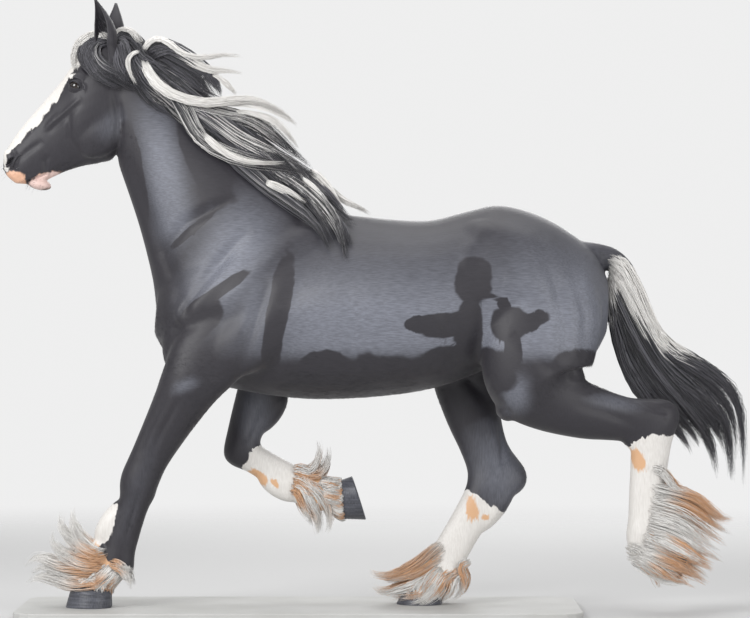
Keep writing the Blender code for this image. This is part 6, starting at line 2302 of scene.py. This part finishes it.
@dataclass
class FaceHair:
    """Lashes, whiskers and the soft hair inside the ears."""

    # How many there are on each side
    lashes: int = 34
    ear_tufts: int = 30
    whiskers: int = 21
    seed: int = 46

    def tresses(self, tree: BVHTree) -> list[Tress]:
        """Plans every hair as a tress of a few strands.

        Args:
            tree: the skin, on which the whiskers grow.

        Returns:
            The hairs of both sides.
        """
        rng = np.random.default_rng(self.seed)
        return [
            tress
            for side in Side
            for hairs in (self.lash_row(side, rng), self.ear_lining(side, rng), self.beard(side, tree, rng))
            for tress in hairs
        ]

    def lash_row(self, side: Side, rng: Rng) -> Iterable[Tress]:
        """The lashes along one upper lid, from its corner to its corner.

        Args:
            side: which eye they are over.
            rng: the family's random draws.

        Yields:
            One tress for each lash.
        """
        centre, out, front, up = FACE.eye_axes(side)
        for i in range(self.lashes):
            along = (2 * i / (self.lashes - 1) - 1) * 0.9
            rise = FACE.upper_half_height * (1 - along**2)
            flat = math.hypot(along * FACE.slit_half_length, rise)
            high = math.sqrt((FACE.eye_radius + FACE.lid) ** 2 - flat**2)
            root = centre + front * along * FACE.slit_half_length + up * (rise + 0.001) + out * (high - 0.002)
            grow = (out * 0.9 - up * 0.25 + front * 0.4 * along + Vector(rng.normal(0, 0.1, 3))).normalized()
            tip = root + grow * 0.016 * rng.uniform(0.8, 1.3) + up * 0.004
            line = [root, root.lerp(tip, 0.5) - up * 0.002, tip]
            yield Tress(line, [up] * 3, 0.001, 0.001, 2, part="head", wave=0.0003)

    def ear_lining(self, side: Side, rng: Rng) -> Iterable[Tress]:
        """The soft hair inside one ear.

        Args:
            side: which ear it is in.
            rng: the family's random draws.

        Yields:
            One tress for each tuft.
        """
        base, tip, axis, facing, across = FACE.ear_axes(side)
        for _ in range(self.ear_tufts):
            share = rng.uniform(0.08, 0.62)
            turn = rng.uniform(-1.3, 1.3)
            radius = 0.04 * float(np.interp(share, (0, 0.36, 0.8, 1), (0.8, 1.0, 0.5, 0.2)))
            middle = base.lerp(tip, share) - facing * FACE.ear_bow * math.sin(math.pi * share)
            root = middle + (across * math.sin(turn) - facing * math.cos(turn)) * radius
            grow = (axis * 0.9 + facing * 0.55 - across * 0.5 * math.sin(turn)).normalized()
            end = root + grow * rng.uniform(0.03, 0.055)
            line = [root, root.lerp(end, 0.5) + facing * 0.003, end]
            yield Tress(line, [facing] * 3, 0.008, 0.004, 6, white=(0.0, 0.12), part="head", wave=0.0015)

    def beard(self, side: Side, tree: BVHTree, rng: Rng) -> Iterable[Tress]:
        """The whiskers on one side, in turn on the upper lip and on the chin.

        Args:
            side: the side that they grow on.
            tree: the skin.
            rng: the family's random draws.

        Yields:
            One tress for each whisker.
        """
        for i in range(self.whiskers):
            chin = i % 2
            x = rng.uniform(-1.17, -1.08) if chin else rng.uniform(-1.27, -1.2)
            z = rng.uniform(1.825, 1.85) if chin else rng.uniform(1.87, 1.92)
            root, facing, *_ = tree.find_nearest(Vector((x, side.value * rng.uniform(0.02, 0.05), z)))
            droop = Vector((-0.3, 0, -0.6 if chin else -0.35))
            grow = (facing + droop + Vector(rng.normal(0, 0.15, 3))).normalized()
            end = root + grow * rng.uniform(0.022, 0.042)
            line = [root - facing * 0.002, root.lerp(end, 0.5), end + Vector((0, 0, -0.005))]
            square = facing.orthogonal()
            yield Tress(line, [square] * 3, 0.001, 0.001, 1, white=(0.3,), part="head", wave=0.0002)


def linear(colour: str) -> tuple[float, float, float, float]:
    """An sRGB hex colour as linear values with full alpha."""
    parts = [int(colour[i : i + 2], 16) / 255 for i in (1, 3, 5)]
    return (*(c / 12.92 if c <= 0.04045 else ((c + 0.055) / 1.055) ** 2.4 for c in parts), 1.0)


class NodeTree:
    """A tree of shader nodes."""

    def __init__(self, tree: bpy.types.NodeTree) -> None:
        """Takes a tree to add nodes to."""
        self.tree = tree

    def node(
        self, kind: str, inputs: Optional[dict] = None, out: int | str = 0, **settings: object
    ) -> Socket:
        """Adds a node.

        Args:
            kind: the node's type without its first words, as in Math.
            inputs: sockets by name or number, each a value or another node's output.
            out: the output that is wanted.
            settings: the node's own properties.

        Returns:
            The output's socket.
        """
        made = self.tree.nodes.new(f"ShaderNode{kind}")
        for name, value in settings.items():
            setattr(made, name, value)
        for name, value in (inputs or {}).items():
            self.put(made.inputs[name], value)
        return made.outputs[out]

    def put(self, socket: Socket, value: object) -> None:
        """Sets a socket.

        Args:
            socket: the socket.
            value: its value, or another node's output that it is linked to.
        """
        if isinstance(value, Socket):
            self.tree.links.new(value, socket)
        else:
            socket.default_value = value


class Finish(NodeTree):
    """A material with its tree of nodes, starting from a Principled shader."""

    def __init__(self, name: str) -> None:
        """Makes the material.

        Args:
            name: what it is called.
        """
        self.material = bpy.data.materials.new(name)
        self.material.use_nodes = True
        super().__init__(self.material.node_tree)
        self.shader = self.tree.nodes["Principled BSDF"]

    def shade(self, **inputs: object) -> Material:
        """Puts values on the shader's own sockets.

        Args:
            inputs: the values by the sockets' names, with _ for a space.

        Returns:
            The material.
        """
        for name, value in inputs.items():
            self.put(self.shader.inputs[name.replace("_", " ")], value)
        return self.material


class Grain(NamedTuple):
    """A noise on the piece's own coordinates: its size in mm, its stretch, its turn and its detail."""

    size_mm: float
    stretch: Point3 = (1.0, 1.0, 1.0)
    turn: float = 0.0
    detail: float = 3.0

    @property
    def lie(self) -> dict[str, Point3]:
        """How its coordinates are turned and stretched."""
        return {"Rotation": (0.0, math.radians(self.turn), 0.0), "Scale": self.stretch}

    @property
    def size(self) -> dict[str, float]:
        """How fine and how rich it is."""
        return {"Scale": 1 / (self.size_mm * MM), "Detail": self.detail}


@dataclass(frozen=True)
class ShortCoat:
    """The short summer coat of a black heavy horse, with its white marks.

    Dense, glossy guard hairs about 12 mm long that lie flat. The eye gets a satin black with a fine
    streak along the body, a painted bluish highlight and painted shade on the trunk, neck and legs, and
    torn edges where black hair meets white. The bare skin of the lips is peach and pale pink.
    """

    black: str = "#312f35"
    shade: str = "#1e1d21"
    # The grey of the painted highlight, where light falls on the black coat
    slate: str = "#7e818c"
    white: str = "#e9e6e2"
    cream: str = "#d6d2cd"
    tan: str = "#d9ad86"
    peach: str = "#dcae92"
    pink: str = "#dcc0b8"
    # The lie of the hair on the trunk, the legs and the head; a hair's real breadth would be too fine
    streaks: tuple[Grain, Grain, Grain] = (
        Grain(5.0, (0.14, 1, 1), 18.0), Grain(5.0, (1, 1, 0.12)), Grain(5.0, (1, 1, 0.16), -38.0),
    )
    ragged: Grain = Grain(34.0, (1, 1, 0.45), detail=4.0)
    fringe: Grain = Grain(11.0, (1, 1, 0.35))
    cloud: Grain = Grain(90.0, detail=2.0)

    def build(self) -> Material:
        """Makes the material.

        Returns:
            It.
        """
        m = Finish("short_coat_black_and_white")
        place = m.node("TexCoord", out="Object")
        grains = (*self.streaks, self.ragged, self.fringe, self.cloud)
        spots = [m.node("Mapping", {"Vector": place, **grain.lie}) for grain in grains]
        trunk, legs, head, ragged, fringe, cloud = (
            m.node("TexNoise", {"Vector": spot, **grain.size}, "Fac") for spot, grain in zip(spots, grains)
        )
        share = m.node("Attribute", attribute_name="legs", out="Fac")
        streak = m.node("Mix", {0: share, 2: trunk, 3: legs})
        share = m.node("Attribute", attribute_name="head", out="Fac")
        streak = m.node("Mix", {0: share, 2: streak, 3: head})
        torn = m.node("Math", {0: ragged, 1: 0.5}, operation="MULTIPLY")
        torn = m.node("Math", {0: fringe, 1: 0.5, 2: torn}, operation="MULTIPLY_ADD")
        # Each marking's share, and the painted highlight's and painted shade's: the mesh's own number, its
        # edge moved by a noise, from a soft or firm step
        share = {}
        for name, noise, much, low, high, step in (
            # The first two are painted light: the grey highlight and the black shade laid inside it
            ("slate", cloud, 0.1, 0.04, 1.0, "LINEAR"),
            ("shade", cloud, 0.45, 0.54, 0.4, "SMOOTHSTEP"),
            ("tan", torn, 1.5, 0.3, 0.62, "SMOOTHSTEP"),
            ("white", ragged, 0.055, -0.002, 0.004, "SMOOTHSTEP"),
            ("pink", torn, 0.9, 0.3, 0.55, "SMOOTHSTEP"),
            ("pale", cloud, 0.0, 0.3, 0.5, "SMOOTHSTEP"),
        ):
            own = m.node("Attribute", attribute_name=name, out="Fac")
            move = m.node("Math", {0: noise, 1: 0.5}, operation="SUBTRACT")
            moved = m.node("Math", {0: move, 1: much, 2: own}, operation="MULTIPLY_ADD")
            limits = {"Value": moved, "From Min": low, "From Max": high}
            share[name] = m.node("MapRange", limits, interpolation_type=step)
        # lit: the painted highlight, less the painted shade inside it
        share["lit"] = m.node("Math", {0: share["slate"], 1: share["shade"]}, operation="MULTIPLY")
        for name, low, high in (("dark", 0.2, 0.8), ("bright", 0.1, 0.9)):
            limits = {"Value": streak, "From Min": low, "From Max": high}
            share[name] = m.node("MapRange", limits, interpolation_type="SMOOTHSTEP")
        colours = ("black", "shade", "slate", "white", "cream", "tan", "peach", "pink")
        made = {name: linear(getattr(self, name)) for name in colours}
        # Colours laid over each other: the new one's name, the share, and the two that it mixes
        for name, amount, first, second in (
            ("lit", share["lit"], "black", "slate"),
            ("dark", share["dark"], "shade", "lit"),
            ("coat", 0.4, "lit", "dark"),
            ("pale", share["bright"], "cream", "white"),
            ("pale", share["tan"], "pale", "tan"),
            ("marked", share["white"], "coat", "pale"),
            ("lips", share["pale"], "peach", "pink"),
            ("all", share["pink"], "marked", "lips"),
        ):
            made[name] = m.node("Mix", {0: amount, 6: made[first], 7: made[second]}, 2, data_type="RGBA")
        rough = m.node("MapRange", {"Value": streak, "To Min": 0.4, "To Max": 0.58})
        height = m.node("Math", {0: cloud, 1: 0.4, 2: streak}, operation="MULTIPLY_ADD")
        bump = m.node("Bump", {"Height": height, "Strength": 0.35, "Distance": 0.8 * MM}, "Normal")
        return m.shade(Base_Color=made["all"], Roughness=rough, Normal=bump, Sheen_Weight=0.12,
                       Sheen_Roughness=0.45, Specular_IOR_Level=0.45)


@dataclass(frozen=True)
class LongHair:
    """Mane, tail and feather: coarse straight horsehair, each hair round, smooth and satin.

    The eye gets black and grey strands side by side, locks that go white, and tan tips; on the mane,
    forelock and tail the white locks are a painted highlight.
    """

    black: str = "#29292d"
    grey: str = "#626168"
    shade: str = "#d6d3cf"
    # White hair: the feather's own colour, and on the mane, forelock and tail a painted highlight
    white: str = "#efedea"
    tan: str = "#d8a981"
    root: str = "#3a3838"

    def build(self, name: str) -> Material:
        """Makes the material.

        Args:
            name: what it is called.

        Returns:
            It.
        """
        m = Finish(name)
        tone, along, white, tan = (
            m.node("Attribute", attribute_name=attribute, out="Fac")
            for attribute in ("tone", "share", "white", "tan")
        )
        move = m.node("Math", {0: tone, 1: 0.5}, operation="SUBTRACT")
        white = m.node("Math", {0: move, 1: 0.35, 2: white}, operation="MULTIPLY_ADD")
        deep = m.node("Math", {0: tone, 1: 0.5, 2: 0.55}, operation="MULTIPLY_ADD")
        warm = m.node("Math", {0: tan, 1: deep}, operation="MULTIPLY")
        colours = ("black", "grey", "shade", "white", "tan", "root")
        made = {part: linear(getattr(self, part)) for part in colours}
        for part, value, low, high, first, second in (
            ("dark", tone, 0.1, 0.95, "black", "grey"),
            ("pale", tone, 0.0, 0.7, "shade", "white"),
            ("all", white, 0.3, 0.62, "dark", "pale"),
            ("all", warm, 0.15, 0.85, "all", "tan"),
            ("rooted", along, 0.0, 0.12, "root", "all"),
        ):
            limits = {"Value": value, "From Min": low, "From Max": high}
            share = m.node("MapRange", limits, interpolation_type="SMOOTHSTEP")
            made[part] = m.node("Mix", {0: share, 6: made[first], 7: made[second]}, 2, data_type="RGBA")
        colour = m.node("Mix", {0: 0.55, 6: made["all"], 7: made["rooted"]}, 2, data_type="RGBA")
        return m.shade(Base_Color=colour, Roughness=0.42, Specular_IOR_Level=0.5, Sheen_Weight=0.08)


@dataclass(frozen=True)
class Horn:
    """Hoof horn: dense keratin that grows down from the hairline in fine tubes.

    The eye gets dark blue-grey, satin, with faint upright lines on the wall and rings round it.
    """

    dark: str = "#34353c"
    pale: str = "#5e6069"
    tubes: Grain = Grain(2.2, (1, 1, 0.08))
    rings: Grain = Grain(7.0, (0.06, 0.06, 1))

    def build(self) -> Material:
        """Makes the material.

        Returns:
            It.
        """
        m = Finish("hoof_horn")
        place = m.node("TexCoord", out="Object")
        grains = self.tubes, self.rings
        spots = [m.node("Mapping", {"Vector": place, **grain.lie}) for grain in grains]
        tubes, rings = (
            m.node("TexNoise", {"Vector": spot, **grain.size}, "Fac") for spot, grain in zip(spots, grains)
        )
        both = m.node("Math", {0: tubes, 1: 0.5}, operation="MULTIPLY")
        both = m.node("Math", {0: rings, 1: 0.5, 2: both}, operation="MULTIPLY_ADD")
        limits = {"Value": both, "From Min": 0.32, "From Max": 0.66}
        share = m.node("MapRange", limits, interpolation_type="SMOOTHSTEP")
        colour = m.node("Mix", {0: share, 6: linear(self.dark), 7: linear(self.pale)}, 2, data_type="RGBA")
        bump = m.node("Bump", {"Height": both, "Strength": 0.3, "Distance": 0.5 * MM}, "Normal")
        return m.shade(Base_Color=colour, Roughness=0.48, Normal=bump, Coat_Weight=0.08, Coat_Roughness=0.3)


@dataclass(frozen=True)
class WetEye:
    """The eye: a dark brown iris with a pupil, behind the clear cornea and its film of tears.

    The eye gets a deep brown that is nearly black, with one sharp highlight on the wet front.
    """

    iris: str = "#2a1a12"
    rim: str = "#120c09"
    pupil: str = "#050505"
    fibres: Grain = Grain(1.11, detail=2.0)

    def build(self, face: Face) -> Material:
        """Makes the material, which both eyes share, with Y taken without its sign.

        Args:
            face: where the eyes are.

        Returns:
            It.
        """
        m = Finish("wet_eye")
        place = m.node("TexCoord", out="Object")
        spot = m.node("VectorMath", {0: place}, operation="ABSOLUTE")
        pole = Vector(face.eye) + Vector(face.eye_out).normalized() * face.eye_radius
        away = m.node("VectorMath", {0: spot, 1: tuple(abs(v) for v in pole)}, operation="SUBTRACT")
        distance = m.node("VectorMath", {0: away}, "Value", operation="LENGTH")
        fibres = m.node("TexNoise", {"Vector": place, **self.fibres.size}, "Fac")
        made = {part: linear(getattr(self, part)) for part in ("iris", "rim", "pupil")}
        for part, value, low, high, first, second in (
            ("iris", fibres, 0.3, 0.7, "rim", "iris"),
            ("iris", distance, 0.006, 0.0085, "pupil", "iris"),
            ("iris", distance, 0.017, 0.021, "iris", "rim"),
        ):
            limits = {"Value": value, "From Min": low, "From Max": high}
            share = m.node("MapRange", limits, interpolation_type="SMOOTHSTEP")
            made[part] = m.node("Mix", {0: share, 6: made[first], 7: made[second]}, 2, data_type="RGBA")
        return m.shade(Base_Color=made["iris"], Roughness=0.12, Coat_Weight=1.0, Coat_Roughness=0.02)


@dataclass(frozen=True)
class PaintedBoard:
    """The base: a fibre board under a few sprayed coats of matt grey paint.

    The eye gets an even pale grey with soft clouds and the faint pebbled skin of sprayed paint.
    """

    light: str = "#c3c3c1"
    deep: str = "#b9b9b6"
    skin: Grain = Grain(1.6, detail=2.0)
    cloud: Grain = Grain(333.0)

    def build(self) -> Material:
        """Makes the material.

        Returns:
            It.
        """
        m = Finish("painted_board")
        place = m.node("TexCoord", out="Object")
        skin, cloud = (
            m.node("TexNoise", {"Vector": place, **grain.size}, "Fac") for grain in (self.skin, self.cloud)
        )
        limits = {"Value": cloud, "From Min": 0.3, "From Max": 0.7}
        share = m.node("MapRange", limits, interpolation_type="SMOOTHSTEP")
        colour = m.node("Mix", {0: share, 6: linear(self.deep), 7: linear(self.light)}, 2, data_type="RGBA")
        bump = m.node("Bump", {"Height": skin, "Strength": 0.12, "Distance": 0.1 * MM}, "Normal")
        return m.shade(Base_Color=colour, Roughness=0.62, Normal=bump)


@dataclass
class Studio:
    """A pale floor, soft light all round, and the camera at the photograph's angle."""

    distance: float = 15.0
    middle: Point3 = (0.3225, 0.0, 1.2986)
    width: float = 3.225
    sensor: float = 36.0
    floor_radius: float = 9.0
    paper: str = "#cacaca"
    ambient: float = 0.45
    backdrop: float = 0.86
    # Each lamp's name, place, size in metres and watts
    lamps: tuple[tuple[str, Point3, float, float], ...] = (
        ("key", (-4.5, -6.0, 4.6), 4.0, 450.0), ("fill", (5.5, -6.0, 2.4), 5.0, 200.0),
        ("top", (0.4, 0.5, 6.5), 5.0, 180.0), ("rim", (1.5, 7.0, 4.0), 4.0, 160.0),
    )

    def camera(self) -> None:
        """A long lens that looks level along +Y, with the picture as wide as the photograph's."""
        data = bpy.data.cameras.new("camera")
        data.sensor_width = self.sensor
        data.lens = self.sensor * self.distance / self.width
        data.clip_end = 200.0
        camera = bpy.data.objects.new("camera", data)
        camera.location = (self.middle[0], -self.distance, self.middle[2])
        camera.rotation_euler = (math.pi / 2, 0.0, 0.0)
        bpy.context.scene.collection.objects.link(camera)
        bpy.context.scene.camera = camera

    def light(self, name: str, spot: Point3, size: float, power: float) -> None:
        """Hangs a square soft light that faces the horse's middle.

        Args:
            name: its name.
            spot: its place.
            size: its breadth in metres.
            power: its watts.
        """
        data = bpy.data.lights.new(name, "AREA")
        data.size, data.energy = size, power
        lamp = bpy.data.objects.new(name, data)
        lamp.location = spot
        aim = Vector((0.3, 0.0, 1.2)) - Vector(spot)
        lamp.rotation_euler = aim.to_track_quat("-Z", "Y").to_euler()
        bpy.context.scene.collection.objects.link(lamp)

    def floor(self) -> None:
        """A round pale floor that fades out towards its edge."""
        bm = bmesh.new()
        bmesh.ops.create_circle(bm, cap_ends=True, radius=self.floor_radius, segments=96)
        floor = new_object("floor", bm)
        # A roll of studio paper: matt and pale, so that the eye sees soft shadows and no edge
        m = Finish("studio_paper")
        away = m.node("VectorMath", {0: m.node("TexCoord", out="Object")}, "Value", operation="LENGTH")
        limits = {"Value": away, "From Min": self.floor_radius * 0.95, "From Max": self.floor_radius * 0.35}
        seen = m.node("MapRange", limits, interpolation_type="SMOOTHSTEP")
        floor.data.materials.append(m.shade(Base_Color=linear(self.paper), Roughness=0.9, Alpha=seen))

    def build(self) -> None:
        """Sets up everything that isn't the horse."""
        self.camera()
        self.floor()
        for lamp in self.lamps:
            self.light(*lamp)
        world = bpy.data.worlds.new("studio")
        world.use_nodes = True
        m = NodeTree(world.node_tree)
        seen = m.node("LightPath", out="Is Camera Ray")
        limits = {"Value": seen, "To Min": self.ambient, "To Max": self.backdrop}
        sky = m.tree.nodes["Background"].inputs
        m.put(sky["Strength"], m.node("MapRange", limits))
        m.put(sky["Color"], (1.0, 1.0, 1.0, 1.0))
        bpy.context.scene.world = world
        bpy.context.scene.view_settings.view_transform = "Standard"


def dress(obj: Object, material: Material, slot: str, *nodes: str) -> None:
    """Gives a piece its material and its body, hides the nodes that it stands for, and logs its faces.

    Args:
        obj: the piece.
        material: the material.
        slot: not used.
        nodes: the nodes that it replaces.
    """
    obj.data.materials.clear()
    obj.data.materials.append(material)
    if nodes:
        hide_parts(*nodes)
    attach(obj, "root")
    LOG.info("%s: %d faces", obj.name, len(obj.data.polygons))


def main() -> None:
    """Builds the horse's looks piece by piece and writes how much room they take."""
    logging.basicConfig(level=logging.INFO, format="%(message)s", stream=sys.stdout)
    Studio().build()
    marks_and_painted_light = MarksAndPaintedLight()

    flesh = Flesh()
    skin = flesh.build()
    tree = surface_tree(skin)
    FACE.build(skin)
    marks_and_painted_light.mark(skin.data)
    coat = ShortCoat().build()
    fleshy = [f"{piece}_leg_{name}" for name in LEGS for piece in ("upper", "lower")]
    dress(skin, coat, "coat", "torso", "neck", "head", "tail", "ear_left", "ear_right", *fleshy)

    wet = WetEye().build(FACE)
    for side, node in ((Side.NEAR, "eye_left"), (Side.OFF, "eye_right")):
        dress(FACE.eyeball(side), wet, "eye", node)
    horn = Horn().build()
    hooves = {name: Hoof(leg).build() for name, leg in LEGS.items()}
    for name, hoof in hooves.items():
        dress(hoof, horn, "hoof", f"hoof_{name}")

    hair = LongHair().build("horsehair_black_and_silver")
    silk = LongHair(black="#4a4644", grey="#8b8683", root="#d6d1ca").build("feather_hair_white")
    ground = Ground()
    dress(HairPiece("mane_under").build(Mane().under(tree), 51), hair, "coat")
    dress(HairPiece("mane_over", shortest=0.84).build(Mane().over(tree), 50), hair, "coat")
    dress(HairPiece("forelock").build(Forelock().tresses(tree), 52), hair, "coat")
    tail = Tail().tresses()
    dress(HairPiece("tail_hair_upper", shortest=0.86).build(tail[: len(tail) // 2], 53), hair, "coat")
    dress(HairPiece("tail_hair_lower", shortest=0.86).build(tail[len(tail) // 2 :], 54), hair, "coat")
    for number, (name, leg) in enumerate(LEGS.items()):
        tresses = Feather(leg, *FEATHER_LOOKS[name]).tresses((tree, surface_tree(hooves[name])), 60 + number)
        piece = HairPiece(f"feather_{name}", rings=9, strand=0.0019).build(tresses, 70 + number, ground.clear)
        dress(piece, silk, "stocking")
    dress(HairPiece("face_hair", rings=6, strand=0.0005).build(FaceHair().tresses(tree), 55), hair, "coat")
    dress(Coat().build(skin, marks_and_painted_light), coat, "coat")
    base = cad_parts["stand_base"]
    base.data.materials[0] = PaintedBoard().build()


if __name__ == "__main__":
    main()
